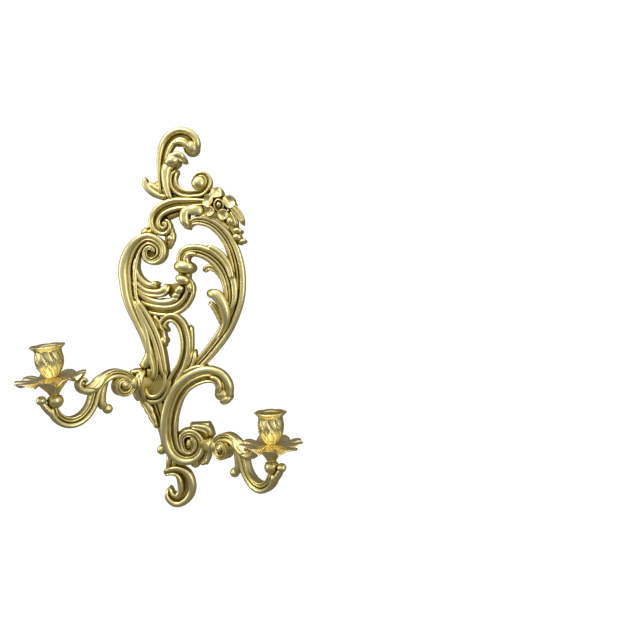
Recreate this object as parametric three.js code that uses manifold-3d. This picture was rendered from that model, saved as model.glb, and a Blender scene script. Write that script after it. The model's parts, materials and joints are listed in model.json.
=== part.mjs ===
// Two-arm rococo wall sconce candle holder in cast brass, in millimetres, +Z up.
// The wall is the plane Y = 0, the front faces -Y, and the origin is the wall face of the hanger.
import * as THREE from 'three';
import { mergeVertices } from 'three/addons/utils/BufferGeometryUtils.js';
import Module from 'manifold-3d';

const wasm = await Module();
wasm.setup();

// ---- driving dimensions ----

const CLEARANCE = 0.3;           // gap between two pieces that touch
const SAMPLES_PER_SPAN = 2;      // straight steps between two points of a scroll's centre line
const CHUNK_TURN = 2.4;          // radians a scroll may turn before it is continued as a new solid
const ROUND_SIDES = 16;          // sides of a small round solid
const BEHIND_WALL = 2;           // how far a scroll is run past the wall plane before it is cut flat
const OVERCUT = 5;               // how far a hole is run past the faces it goes through
const HOLE_SIDES = 12;

const CANDLE_BORE = 22;          // inside diameter of a candle cup
const CUP_HEIGHT = 32;
const CUP_FLOOR = 7;             // height of the candle seat over the cup's underside
const CUP_SIDES = 24;
const PAN_RADIUS = 34;
const PAN_THICKNESS = 3;
const PAN_LOBES = 9;
const PAN_STEPS_PER_LOBE = 6;
const PAN_LOBE_DEPTH = 4;
const PAN_LEAF_REACH = 4;        // how far the longer leaf stands out past the others
const CALYX_HEIGHT = 16.5;
const STUD_DIAMETER = 4;
const STUD_HOLE_RADIUS = STUD_DIAMETER / 2 + CLEARANCE;
const STUD_DEPTH = 5;            // below the centre of the ball it is screwed into
const BOLT_DIAMETER = 5;
const BOLT_HEAD_DIAMETER = 8.5;
const BOLT_HEAD_HEIGHT = 3.2;
const WASHER_DIAMETER = 10;
const WASHER_THICKNESS = 1.2;

const CUP_AXIS = 85.5;           // from the boss face out to the cup's axis, along the arm
const CUP_BALL_DROP = 8.7;       // ball under the cup, below the arm's root volute
const CUP_BALL_RADIUS = 8;
const CALYX_SEAT = 5.2;          // flat on the ball, over its centre

const BOSS_RADIUS = 9;
const BOSS_WALL = 10;            // brass between the boss face and the bolt's seat
const BOLT_RECESS_RADIUS = 6;
const BOLT_REACH = 13;           // bolt's length inside the arm
const BOLT_HOLE_RADIUS = BOLT_DIAMETER / 2 + CLEARANCE;
const BOLT_SLOT = { width: 1.2, depth: 1.2 };

const HANGER = { x: 4, z: -4, width: 34, height: 14, thickness: 2, corner: 3 };
const HANGER_SCREW_OFFSET = 13;
const KEYHOLE = { x: 5, z: -6, bore: 8, slot: 4.2, rise: 5.5 };
const NAIL_ROOM = 3;             // depth behind the keyhole for the head of the nail
const HANGER_SCREW = { diameter: 3, head: 5.6, headHeight: 1.6, length: 7.5, slot: 0.8, slotDepth: 0.7 };
const SINK_SLOPE = 0.5;          // how far the countersink's cone is run past the hanger's faces
const HEAD_SET_BACK = 0.2;       // the screw heads lie this far under the hanger's wall face

// Each arm's boss face, its direction from +X, and how far its cup leans outwards, in degrees.
const ARMS = [
  { name: 'left', root: [-51, -25, -212], splay: 180 + 43, lean: 6.5 },
  { name: 'right', root: [40, -25, -284], splay: -36, lean: -1.5 },
];

const radians = THREE.MathUtils.degToRad;

// ---- solids ----

function toSolid(geometry) {
  const bare = geometry.index ? geometry.toNonIndexed() : geometry.clone();
  bare.deleteAttribute('normal');
  bare.deleteAttribute('uv');
  const merged = mergeVertices(bare, 1e-4);
  return new wasm.Manifold(new wasm.Mesh({
    numProp: 3,
    vertProperties: new Float32Array(merged.attributes.position.array),
    triVerts: new Uint32Array(merged.index.array),
  }));
}

function toGeometry(solid) {
  const mesh = solid.getMesh();
  const geometry = new THREE.BufferGeometry();
  geometry.setAttribute('position', new THREE.BufferAttribute(mesh.vertProperties, 3));
  geometry.setIndex(new THREE.BufferAttribute(mesh.triVerts, 1));
  geometry.computeVertexNormals();
  return geometry;
}

const joined = (solids) => solids.reduce((whole, solid) => whole.add(solid));

// A cylinder along +Z that starts at the given height.
function rod(radius, from, to, sides = ROUND_SIDES, topRadius = radius) {
  const geometry = new THREE.CylinderGeometry(topRadius, radius, to - from, sides);
  geometry.rotateX(Math.PI / 2);
  geometry.translate(0, 0, (from + to) / 2);
  return geometry;
}

// The same cylinder laid along +X.
function rodX(radius, from, to, sides = ROUND_SIDES, endRadius = radius) {
  return rod(radius, from, to, sides, endRadius).rotateY(Math.PI / 2);
}

function ball(radius, x, y, z, sides = 12) {
  const geometry = new THREE.SphereGeometry(radius, sides, sides - 4);
  geometry.rotateX(Math.PI / 2);
  geometry.translate(x, y, z);
  return geometry;
}

function turned(profile, sides) {
  const points = profile.map(([radius, height]) => new THREE.Vector2(radius, height));
  const geometry = new THREE.LatheGeometry(points, sides);
  geometry.rotateX(Math.PI / 2);
  return geometry;
}

// ---- scrolls: a centre line of [x, z, width] points, made into flat-backed bars with a
// chamfered face. Long scrolls are cut into overlapping chunks so that none crosses itself. ----

function centreLine(points) {
  const guide = new THREE.CatmullRomCurve3(
    points.map(([x, z, width]) => new THREE.Vector3(x, z, width)), false, 'centripetal');
  const samples = guide.getPoints((points.length - 1) * SAMPLES_PER_SPAN);
  return samples.map((sample, i) => {
    const before = samples[Math.max(i - 1, 0)];
    const after = samples[Math.min(i + 1, samples.length - 1)];
    const heading = Math.atan2(after.y - before.y, after.x - before.x);
    return { x: sample.x, z: sample.y, half: sample.z / 2, heading };
  });
}

function chunksOf(line) {
  const chunks = [];
  let start = 0;
  let turn = 0;
  for (let i = 1; i < line.length; i += 1) {
    const change = line[i].heading - line[i - 1].heading;
    turn += Math.atan2(Math.sin(change), Math.cos(change));
    if (Math.abs(turn) > CHUNK_TURN && i < line.length - 2) {
      chunks.push(line.slice(start, i + 1));
      start = i - 1;
      turn = 0;
    }
  }
  chunks.push(line.slice(start));
  return chunks;
}

const TIP_REACH = 0.7;           // how far an end's point stands out, as a share of half its width

function outlineOf(chunk, roundStart, roundEnd) {
  const side = (sample, sign) => new THREE.Vector2(
    sample.x - sign * sample.half * Math.sin(sample.heading),
    sample.z + sign * sample.half * Math.cos(sample.heading));
  const tip = (sample, sign) => new THREE.Vector2(
    sample.x + sign * sample.half * TIP_REACH * Math.cos(sample.heading),
    sample.z + sign * sample.half * TIP_REACH * Math.sin(sample.heading));
  const outline = chunk.map((sample) => side(sample, -1));
  if (roundEnd) {
    outline.push(tip(chunk.at(-1), 1));
  }
  outline.push(...chunk.map((sample) => side(sample, 1)).reverse());
  if (roundStart) {
    outline.push(tip(chunk[0], -1));
  }
  return new THREE.Shape(outline);
}

// Extrudes an outline drawn in X and Z from Y = -back to Y = -front.
function slab(shape, back, front, chamfer) {
  const geometry = new THREE.ExtrudeGeometry(shape, {
    depth: front - back - 2 * chamfer,
    bevelEnabled: chamfer > 0,
    bevelThickness: chamfer,
    bevelSize: chamfer,
    bevelOffset: -chamfer,
    bevelSegments: 1,
  });
  geometry.rotateX(Math.PI / 2);
  geometry.translate(0, -back - chamfer, 0);
  return geometry;
}

function scroll(points, back, front, chamfer) {
  const line = centreLine(points);
  const chunks = chunksOf(line);
  return chunks.map((chunk, i) => {
    const outline = outlineOf(chunk, i === 0, i === chunks.length - 1);
    return toSolid(slab(outline, back, front, chamfer));
  });
}

// A tapered round boss on the plate, standing out from the wall.
const BUTTON_TAPER = 0.7;
const BUTTON_SIDES = 12;

function button(x, z, radius, front) {
  const height = front + BEHIND_WALL;
  const geometry = new THREE.CylinderGeometry(radius, radius * BUTTON_TAPER, height, BUTTON_SIDES);
  geometry.translate(x, BEHIND_WALL - height / 2, z);
  return toSolid(geometry);
}

// ---- back plate ----

const PLATE_CHAMFER = 2.2;
const SLIM_CHAMFER = 1.5;        // on members that taper to less than the slim width
const SLIM_WIDTH = 7;
const BOSS_LENGTH = 50;          // each boss is run back past the wall, then cut flat
const RECESS_LENGTH = 80;
const WALL_CUT = { width: 400, depth: 100, height: 600, middle: -150 };

// [front, centre line], each a member of the openwork casting.
const PLATE_SCROLLS = {
  crestHook: [14, [[-19, 6, 9], [-20, 20, 9], [-19.5, 32, 11], [-18, 45, 13], [-14.5, 56, 15],
    [-8, 64.5, 16], [1, 68, 17], [9.5, 66, 15], [15, 60, 13]]],
  crestLeaf: [15, [[-12, 4, 6], [-14.5, 18, 7], [-13.5, 28, 9], [-9, 35, 12], [-2, 38, 12], [4, 37, 8]]],
  crestScroll: [12, [[-4, 27, 7], [-7, 20, 9], [-6, 13, 10], [-1, 6.5, 10], [7, 4, 9], [16, 3.5, 9],
    [24, 4, 9], [31, 10, 9], [33, 18, 8.5], [29, 24, 7], [22, 24.5, 6], [17.5, 20, 6]]],
  leftLeaf: [10, [[-14, 4, 10], [-22, 7, 14], [-31, 9, 13], [-38, 14, 9], [-40, 20, 5]]],
  web: [11, [[-14, 0, 12], [4, -3, 13], [22, -3, 11], [32, -4, 9]]],
  shoulder: [15, [[34, -9, 8], [20, -8.5, 10], [8, -9, 13], [-5, -10, 15], [-16, -13, 15], [-24, -19, 14],
    [-28, -27, 13], [-26, -35, 12], [-19, -39, 10], [-14, -36, 8]]],
  knuckleRight: [13, [[-13, -40, 7], [-12, -49, 7], [-18, -58, 6]]],
  knuckleLeft: [12, [[-30, -42, 8], [-40, -43, 7], [-46, -43, 5]]],
  outerArc: [14, [[9, -33, 6], [13, -29, 8], [22, -27, 10], [35, -30, 11], [47, -39, 13], [57, -53, 15],
    [64, -74, 16], [66.5, -94, 16], [65, -115, 16], [59, -135, 16], [49.5, -155, 16], [38, -171, 15],
    [27, -184, 14], [16, -195, 13], [4, -206, 13]]],
  ribbon: [14, [[4, -15, 8], [20, -17, 10], [35, -17, 10], [46, -20, 9]]],
  trailingLeaf: [15, [[56, -10, 8], [64, -18, 9], [70, -29, 7]]],
  trailingBuds: [14, [[52, -22, 9], [60, -34, 10], [68, -50, 9]]],
  mainScroll: [18, [[-36, -72, 8], [-27, -73, 8], [-20.5, -66, 9], [-20.5, -57, 10], [-27, -50, 11],
    [-36, -48.5, 12], [-45, -52, 14], [-52, -60, 17], [-56.5, -71, 20], [-59.5, -84, 21], [-59, -98, 19],
    [-57.5, -112, 17], [-54, -127, 17], [-47.5, -143, 15], [-41, -158, 14], [-37, -172, 15],
    [-36, -186, 18], [-36, -200, 21], [-35, -214, 22], [-33, -226, 20]]],
  tongue: [19, [[-50, -122, 8], [-40, -137, 10], [-30, -155, 11], [-24, -172, 11], [-20.5, -188, 9],
    [-18.5, -202, 8]]],
  fanUpper: [16, [[-52, -88, 7], [-42, -100, 8], [-34, -103.5, 8], [-27, -102, 6]]],
  fanMiddle: [15, [[-52, -98, 7], [-42, -108, 8], [-30, -110, 8], [-20, -108, 8], [-15, -104, 7]]],
  fanLower: [14, [[-50, -110, 7], [-35, -118, 8], [-25, -121, 8], [-12, -120, 8], [-5, -116, 5]]],
  fanSweep: [13, [[-58, -115, 9], [-48, -122, 11], [-38, -127, 12], [-25, -130, 12], [-12, -130, 12],
    [-3, -126, 12], [4, -120, 11], [9, -112, 10], [9, -103, 10], [4, -96, 9]]],
  twistUpper: [18, [[-3, -80, 13], [5, -81, 15], [13, -82, 13]]],
  twistLower: [16, [[-2, -94, 9], [8, -96, 9]]],
  twistCore: [13, [[5, -84, 12], [4, -98, 12]]],
  innerArc: [16, [[5, -80, 10], [2.5, -70, 11], [7, -63, 13], [16, -61, 13], [27, -63, 14], [37, -68, 16],
    [46, -76.5, 17], [53, -88, 17], [57, -102, 17], [57.5, -118, 14], [54, -132, 10]]],
  innerLip: [11, [[29, -81, 6], [38, -83, 7], [45, -90, 8], [50, -100, 8]]],
  thumbLeaf: [19, [[53, -143, 10], [50, -129, 11], [46, -118, 11], [40, -111.5, 10], [34, -110, 8]]],
  thumbUnder: [13, [[49, -148, 6], [44, -138, 6], [39, -128, 6], [34, -123, 4]]],
  hook: [16, [[-17, -151, 7], [-19.5, -145, 8], [-14, -139.5, 10], [-6, -141, 11], [0, -148, 12],
    [3.5, -158, 12], [5, -170, 12], [4, -182, 12], [0, -194, 13], [-6, -205, 14], [-12, -216, 14],
    [-18, -228, 14]]],
  stalk: [12, [[8, -151, 7], [8.5, -163, 7], [8, -175, 7], [4, -190, 8]]],
  stalkLeaf: [14, [[13, -179, 6], [12, -188, 8], [7, -198, 8], [-2, -208, 8]]],
  lowerScroll: [18, [[47, -231, 11], [52, -222, 13], [51, -212, 14], [43, -204.5, 16], [30, -203, 19],
    [18, -206, 19], [6, -213, 19], [-4, -224, 20], [-10, -237, 20], [-14, -252, 20], [-15.5, -268, 20],
    [-14, -283, 19], [-8.5, -295, 17], [2, -301, 15], [13, -299.5, 13], [20, -292, 12], [21, -282, 11],
    [15, -273.5, 10], [6, -271.5, 9]]],
  sideLeaf: [14, [[-36, -224, 18], [-31, -238, 17], [-26, -252, 18], [-22, -266, 14], [-19, -282, 12]]],
  leftBoss: [19, [[-46, -199, 9], [-46, -212, 13], [-46, -226, 13], [-45, -235, 8]]],
  rightBoss: [19, [[22, -266, 11], [29, -276, 12], [30, -290, 12], [25, -305, 11]]],
  tailStem: [12, [[-13, -298, 13], [-15, -316, 12]]],
  tail: [13, [[-18, -319, 8], [-8, -317, 12], [0, -322, 16], [4, -331, 19], [4.5, -340, 19], [0, -349, 17],
    [-8, -352, 15], [-15, -348, 11]]],
};

// [x, z, radius, front]
const PLATE_BUTTONS = [
  [14.5, 56, 8.5, 17],     // ball that ends the crest hook
  [22, 15, 7, 16],         // ball that ends the crest scroll
  [-18, -30.5, 6, 12],     // eye of the shoulder scroll
  [-33, -63, 9.5, 13],     // eye of the main scroll
  [-47, -190, 6, 16],      // knob beside the left boss
  [-33, -217, 13, 15],     // spoon-shaped pocket under the main scroll
  [-22, -164, 5, 17],      // bud on the tongue
  [6, -286, 19, 12],       // ground of the lower volute
  [6, -286, 10, 20],       // eye of the lower volute
  [46, -226, 10, 20],      // ball that ends the lower scroll
  [-25, -293, 5, 12],      // curl on the lower left edge
  [14, -308.5, 6, 11],     // leaf tip under the volute
];

const ROSE = {
  x: 45, z: -9, petals: 5, firstPetal: 105, petalRadius: 8, spread: 12, front: 18,
  bud: { radius: 7, front: 24 },
  ground: { radius: 13, front: 15 },
};

function rosePieces() {
  const { bud, ground } = ROSE;
  const pieces = [
    button(ROSE.x, ROSE.z, bud.radius, bud.front),
    button(ROSE.x, ROSE.z, ground.radius, ground.front),
  ];
  for (let i = 0; i < ROSE.petals; i += 1) {
    const angle = radians(ROSE.firstPetal + (i * 360) / ROSE.petals);
    pieces.push(button(
      ROSE.x + ROSE.spread * Math.cos(angle),
      ROSE.z + ROSE.spread * Math.sin(angle),
      ROSE.petalRadius, ROSE.front));
  }
  return pieces;
}

// Places a solid made along an arm's own axes, where +X runs out of the boss.
function onArmAxis(geometry, arm) {
  geometry.rotateZ(radians(arm.splay));
  geometry.translate(...arm.root);
  return toSolid(geometry);
}

// Everything behind the wall plane, so that the casting's rear is flat.
function wallCut() {
  const geometry = new THREE.BoxGeometry(WALL_CUT.width, WALL_CUT.depth, WALL_CUT.height);
  geometry.translate(0, WALL_CUT.depth / 2, WALL_CUT.middle);
  return toSolid(geometry);
}

// A box cut into the rear face, down to a depth from the wall plane.
function rearBox(width, depth, height, x, z) {
  const geometry = new THREE.BoxGeometry(width, depth + BEHIND_WALL, height);
  geometry.translate(x, (BEHIND_WALL - depth) / 2, z);
  return toSolid(geometry);
}

function hangerPocket() {
  const pocketDepth = HANGER.thickness + CLEARANCE;
  const pocket = rearBox(
    HANGER.width + 2 * CLEARANCE, pocketDepth, HANGER.height + 2 * CLEARANCE, HANGER.x, HANGER.z);
  const nailRoom = rearBox(
    KEYHOLE.bore + 2, pocketDepth + NAIL_ROOM, KEYHOLE.bore + KEYHOLE.rise + 1,
    KEYHOLE.x, KEYHOLE.z + KEYHOLE.rise / 2);
  const holes = [-1, 1].map((sign) => {
    const hole = rod(HANGER_SCREW.diameter / 2 + CLEARANCE, 0, HANGER_SCREW.length + 1, HOLE_SIDES);
    hole.rotateX(Math.PI / 2);
    hole.translate(HANGER.x + sign * HANGER_SCREW_OFFSET, 0, HANGER.z);
    return toSolid(hole);
  });
  return joined([pocket, nailRoom, ...holes]);
}

function backPlate() {
  const members = [];
  for (const [front, points] of Object.values(PLATE_SCROLLS)) {
    const narrowest = Math.min(...points.map(([, , width]) => width));
    const chamfer = narrowest < SLIM_WIDTH ? SLIM_CHAMFER : PLATE_CHAMFER;
    members.push(...scroll(points, -BEHIND_WALL - chamfer, front, chamfer));
  }
  members.push(...PLATE_BUTTONS.map((values) => button(...values)));
  members.push(...rosePieces());
  members.push(...ARMS.map((arm) => onArmAxis(rodX(BOSS_RADIUS, -BOSS_LENGTH, -CLEARANCE), arm)));
  let plate = joined(members);
  for (const arm of ARMS) {
    const recess = rodX(BOLT_RECESS_RADIUS, -RECESS_LENGTH, -BOSS_WALL);
    const hole = rodX(BOLT_HOLE_RADIUS, -RECESS_LENGTH, OVERCUT, HOLE_SIDES);
    plate = plate.subtract(onArmAxis(recess, arm)).subtract(onArmAxis(hole, arm));
  }
  return plate.subtract(wallCut()).subtract(hangerPocket());
}

// ---- hanger ----

function hangerPlate() {
  const { width, height, corner } = HANGER;
  const outline = new THREE.Shape();
  const right = width / 2;
  const top = height / 2;
  outline.moveTo(-right + corner, -top);
  outline.lineTo(right - corner, -top);
  outline.absarc(right - corner, -top + corner, corner, -Math.PI / 2, 0);
  outline.absarc(right - corner, top - corner, corner, 0, Math.PI / 2);
  outline.absarc(-right + corner, top - corner, corner, Math.PI / 2, Math.PI);
  outline.absarc(-right + corner, -top + corner, corner, Math.PI, 1.5 * Math.PI);
  const keyhole = new THREE.Path();
  const x = KEYHOLE.x - HANGER.x;
  const z = KEYHOLE.z - HANGER.z;
  const halfSlot = KEYHOLE.slot / 2;
  const open = Math.asin(halfSlot / (KEYHOLE.bore / 2));
  keyhole.absarc(x, z, KEYHOLE.bore / 2, Math.PI / 2 + open, Math.PI / 2 - open + 2 * Math.PI);
  keyhole.absarc(x, z + KEYHOLE.rise, halfSlot, 0, Math.PI);
  outline.holes.push(keyhole);
  const geometry = new THREE.ExtrudeGeometry(outline, {
    depth: HANGER.thickness, bevelEnabled: false, curveSegments: 5 });
  geometry.rotateX(Math.PI / 2);
  geometry.translate(HANGER.x, 0, HANGER.z);
  let plate = toSolid(geometry);
  for (const sign of [-1, 1]) {
    const wide = HANGER_SCREW.head / 2 + CLEARANCE;
    const narrow = HANGER_SCREW.diameter / 2 + CLEARANCE;
    const sink = rod(wide + SINK_SLOPE, -SINK_SLOPE, HANGER.thickness + SINK_SLOPE, ROUND_SIDES,
      narrow - SINK_SLOPE / 2);
    sink.rotateX(Math.PI / 2);
    sink.translate(HANGER.x + sign * HANGER_SCREW_OFFSET, 0, HANGER.z);
    plate = plate.subtract(toSolid(sink));
  }
  return plate;
}

// A countersunk screw along -Y whose head is flush with the hanger's wall face.
function hangerScrew() {
  const { diameter, head, headHeight, length, slot, slotDepth } = HANGER_SCREW;
  const neck = HEAD_SET_BACK + headHeight;
  const profile = [
    [0, HEAD_SET_BACK], [head / 2 - CLEARANCE, HEAD_SET_BACK], [diameter / 2, neck],
    [diameter / 2, length], [0, length],
  ];
  const groove = new THREE.BoxGeometry(head, slot, 2 * slotDepth);
  const screw = toSolid(turned(profile, HOLE_SIDES)).subtract(toSolid(groove));
  return toGeometry(screw).rotateX(Math.PI / 2);
}

// ---- arm, in its own plane: u runs out from the boss, v up from the root volute ----

const ARM_SCROLLS = [
  // [thickness, centre line of [u, v, width]]
  [11, [[5, 4, 8], [9, 9, 9], [16, 12, 10], [25, 13, 10], [34, 9.5, 10], [41, 3, 10], [45.5, -7, 9.5],
    [48.5, -17, 10], [53.5, -25, 10], [60.5, -31, 10.5], [70, -34, 10.5], [79, -31, 10.5], [86, -23, 9.5],
    [88, -14, 9]]],
  [8, [[43, -1, 8], [51, 0, 8], [58, 1, 7], [62, 4, 6], [60, 8, 5]]],
  [8, [[37, 6, 7], [36.5, -5, 6.5], [36, -15, 7], [33, -22, 8]]],
];
const ARM_CHAMFER = 2;
const ARM_VOLUTE = { u: 13.5, radius: 13, thickness: 13, eye: 5, eyeThickness: 16 };
const NECK = { radius: 2.6, end: 99, v: -8 };   // short neck out to the small ball under the cup
const ARM_BALLS = [
  // [radius, u, v]
  [5.5, 31.5, -24],
  [5.5, 57, 6.5],
  [4.6, 99, -7.5],
];

function disc(radius, thickness, u, v, sides) {
  const shape = new THREE.Shape().absarc(u, v, radius, 0, 2 * Math.PI);
  const outline = new THREE.Shape(shape.getSpacedPoints(sides).slice(0, sides));
  return toSolid(slab(outline, -thickness / 2, thickness / 2, ARM_CHAMFER));
}

function armCasting(lean) {
  const pieces = [];
  for (const [thickness, points] of ARM_SCROLLS) {
    pieces.push(...scroll(points, -thickness / 2, thickness / 2, ARM_CHAMFER));
  }
  const { u, radius, thickness, eye, eyeThickness } = ARM_VOLUTE;
  pieces.push(disc(radius, thickness, u, 0, 20));
  pieces.push(disc(eye, eyeThickness, u, 0, 12));
  pieces.push(toSolid(rodX(BOSS_RADIUS - 1, 0, u)));
  for (const [size, ballU, ballV] of ARM_BALLS) {
    pieces.push(toSolid(ball(size, ballU, 0, ballV)));
  }
  pieces.push(toSolid(rodX(NECK.radius, CUP_AXIS, NECK.end, 8).translate(0, 0, NECK.v)));
  pieces.push(toSolid(ball(CUP_BALL_RADIUS, CUP_AXIS, 0, -CUP_BALL_DROP)));
  const seat = rod(2 * CUP_BALL_RADIUS, CALYX_SEAT, CALYX_SEAT + 2 * OVERCUT);
  const studHole = rod(STUD_HOLE_RADIUS, -STUD_DEPTH, 2 * OVERCUT, HOLE_SIDES);
  const boltHole = rodX(BOLT_HOLE_RADIUS, -OVERCUT, BOLT_REACH + 1, HOLE_SIDES);
  const cuts = [placeOnStack(seat, lean), placeOnStack(studHole, lean), boltHole];
  return cuts.reduce((arm, cut) => arm.subtract(toSolid(cut)), joined(pieces));
}

function placeOnStack(geometry, lean) {
  geometry.rotateY(radians(lean));
  return geometry.translate(CUP_AXIS, 0, -CUP_BALL_DROP);
}

// Slotted cheese-head bolt that holds the arm on its boss from behind the plate.
function armBolt() {
  const seat = -BOSS_WALL - WASHER_THICKNESS - 2 * CLEARANCE;
  const head = seat - BOLT_HEAD_HEIGHT;
  const shank = toSolid(rodX(BOLT_DIAMETER / 2, head + BOLT_HEAD_HEIGHT / 2, BOLT_REACH, HOLE_SIDES));
  const cheese = toSolid(rodX(BOLT_HEAD_DIAMETER / 2, head, seat));
  const slot = new THREE.BoxGeometry(2 * BOLT_SLOT.depth, 2 * BOLT_HEAD_DIAMETER, BOLT_SLOT.width);
  slot.translate(head, 0, 0);
  return shank.add(cheese).subtract(toSolid(slot));
}

function armWasher() {
  const outer = WASHER_DIAMETER / 2;
  const inner = BOLT_DIAMETER / 2 + CLEARANCE;
  const bottom = -BOSS_WALL - CLEARANCE - WASHER_THICKNESS;
  const top = bottom + WASHER_THICKNESS;
  const ring = [[inner, bottom], [outer, bottom], [outer, top], [inner, top], [inner, bottom]];
  return turned(ring, ROUND_SIDES).rotateY(Math.PI / 2);
}

// ---- what stands on an arm: heights are over the centre of the ball that carries it ----

const CALYX_BOTTOM = CALYX_SEAT + CLEARANCE;
const PAN_BOTTOM = CALYX_BOTTOM + CALYX_HEIGHT + CLEARANCE;
const CUP_BOTTOM = PAN_BOTTOM + PAN_THICKNESS + CLEARANCE;
const CUP_THREAD_DEPTH = 5;

function bored(solid, from, to) {
  return solid.subtract(toSolid(rod(STUD_HOLE_RADIUS, from, to, HOLE_SIDES)));
}

// Inverted leafy cone under the pan.
function calyx() {
  const profile = [[0, 0], [4, 0], [5, 2.5], [7.5, 5.5], [11, 9.5], [13.5, 13], [14.5, CALYX_HEIGHT],
    [0, CALYX_HEIGHT]];
  const cone = toSolid(turned(profile, 18)).translate([0, 0, CALYX_BOTTOM]);
  return bored(cone, CALYX_BOTTOM - OVERCUT, PAN_BOTTOM + OVERCUT);
}

// Lobed drip pan with one longer leaf that points away from the wall.
function dripPan() {
  const points = [];
  const steps = PAN_LOBES * PAN_STEPS_PER_LOBE;
  for (let i = 0; i < steps; i += 1) {
    const angle = (2 * Math.PI * i) / steps;
    const lobe = Math.abs(Math.cos((PAN_LOBES * angle) / 2));
    const leaf = PAN_LEAF_REACH * Math.max(0, Math.cos(angle)) ** 12;
    const radius = PAN_RADIUS - PAN_LOBE_DEPTH * (1 - Math.sqrt(lobe)) + leaf;
    points.push(new THREE.Vector2(radius * Math.cos(angle), radius * Math.sin(angle)));
  }
  const geometry = new THREE.ExtrudeGeometry(new THREE.Shape(points), {
    depth: PAN_THICKNESS, bevelEnabled: false });
  geometry.translate(0, 0, PAN_BOTTOM);
  return bored(toSolid(geometry), PAN_BOTTOM - OVERCUT, CUP_BOTTOM + OVERCUT);
}

// Tulip-shaped cup with a turned-out rim. The bore narrows to a flat seat for the candle.
function candleCup() {
  const bore = CANDLE_BORE / 2;
  const profile = [[0, 0], [6.8, 0], [8.2, 3], [11.3, 8.5], [13.1, 14], [13.2, 19], [12.5, 25], [12.8, 28],
    [15.2, 30], [16.4, CUP_HEIGHT], [15.4, CUP_HEIGHT + 0.6], [bore, CUP_HEIGHT - 0.4], [bore, 13],
    [8.6, CUP_FLOOR], [0, CUP_FLOOR]];
  const cup = toSolid(turned(profile, CUP_SIDES)).translate([0, 0, CUP_BOTTOM]);
  return bored(cup, CUP_BOTTOM - OVERCUT, CUP_BOTTOM + CUP_THREAD_DEPTH + CLEARANCE);
}

function stud() {
  return rod(STUD_DIAMETER / 2, CLEARANCE - STUD_DEPTH, CUP_BOTTOM + CUP_THREAD_DEPTH, HOLE_SIDES);
}

// ---- materials ----

function material(color, roughness) {
  return new THREE.MeshStandardMaterial({ color, roughness, metalness: 1 });
}

const BRASS = 0xbfa45c;
const PALE_BRASS = 0xcbb47c;
const STEEL = 0x9a9a96;

// ---- assembly ----

const sconce = new THREE.Group();

function addPiece(parent, name, piece, color, roughness) {
  const geometry = piece.isBufferGeometry ? piece : toGeometry(piece);
  const mesh = new THREE.Mesh(geometry, material(color, roughness));
  mesh.name = name;
  parent.add(mesh);
  return mesh;
}

addPiece(sconce, 'back_plate', backPlate(), BRASS, 0.32);
addPiece(sconce, 'hanger_plate', hangerPlate(), STEEL, 0.45);
for (const [name, sign] of [['left', -1], ['right', 1]]) {
  const screw = addPiece(sconce, `hanger_screw_${name}`, hangerScrew(), STEEL, 0.4);
  screw.position.set(HANGER.x + sign * HANGER_SCREW_OFFSET, 0, HANGER.z);
}

for (const { name, root, splay, lean } of ARMS) {
  const arm = new THREE.Group();
  arm.position.set(...root);
  arm.rotation.z = radians(splay);
  sconce.add(arm);
  addPiece(arm, `${name}_arm`, armCasting(lean), BRASS, 0.32);
  addPiece(arm, `${name}_arm_bolt`, armBolt(), STEEL, 0.4);
  addPiece(arm, `${name}_arm_washer`, armWasher(), STEEL, 0.4);

  const stack = new THREE.Group();
  stack.position.set(CUP_AXIS, 0, -CUP_BALL_DROP);
  stack.rotation.y = radians(lean);
  arm.add(stack);
  addPiece(stack, `${name}_stud`, stud(), STEEL, 0.4);
  addPiece(stack, `${name}_calyx`, calyx(), BRASS, 0.32);
  addPiece(stack, `${name}_drip_pan`, dripPan(), PALE_BRASS, 0.34);
  addPiece(stack, `${name}_candle_cup`, candleCup(), BRASS, 0.3);
}

export default sconce;
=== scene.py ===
"""Looks of the two-arm rococo brass wall sconce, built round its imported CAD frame.

Each casting is one closed mesh of united sweeps, domes and turned solids, and stands for one CAD node.
Castings are in millimetres: +X right, +Z up, and a front is measured out of the wall, along -Y.
The camera and the lights are in metres.
"""

import json
import math

import bmesh
import bpy
import numpy as np
from mathutils import Matrix, Vector
from mathutils.bvhtree import BVHTree


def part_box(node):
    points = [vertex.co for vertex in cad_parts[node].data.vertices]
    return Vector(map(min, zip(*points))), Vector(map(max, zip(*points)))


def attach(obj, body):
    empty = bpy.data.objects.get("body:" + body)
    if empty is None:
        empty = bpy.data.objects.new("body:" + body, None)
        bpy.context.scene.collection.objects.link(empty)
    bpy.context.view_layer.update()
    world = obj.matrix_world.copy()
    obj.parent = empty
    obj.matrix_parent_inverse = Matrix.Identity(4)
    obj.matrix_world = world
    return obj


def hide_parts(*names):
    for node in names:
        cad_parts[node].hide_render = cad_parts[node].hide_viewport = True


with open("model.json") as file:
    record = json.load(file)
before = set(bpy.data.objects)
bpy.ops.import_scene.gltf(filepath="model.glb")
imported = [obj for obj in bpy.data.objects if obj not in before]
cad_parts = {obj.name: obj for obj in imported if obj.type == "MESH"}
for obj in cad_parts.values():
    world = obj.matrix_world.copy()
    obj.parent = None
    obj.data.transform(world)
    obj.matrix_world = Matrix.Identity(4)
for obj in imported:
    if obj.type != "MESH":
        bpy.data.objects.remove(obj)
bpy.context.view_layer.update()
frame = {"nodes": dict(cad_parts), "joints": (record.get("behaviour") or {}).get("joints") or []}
MM = 0.001
SIDES = ("left", "right")
JOINTS = {joint["name"]: joint for joint in frame["joints"]}

# ---- camera ----

CAMERA_PLACE = (0.160, -0.657, -0.107)
CAMERA_PITCH = 87.0
CAMERA_LENS = 31.5


def linked(name, data):
    """A new object in the scene."""
    obj = bpy.data.objects.new(name, data)
    bpy.context.scene.collection.objects.link(obj)
    return obj


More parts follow.
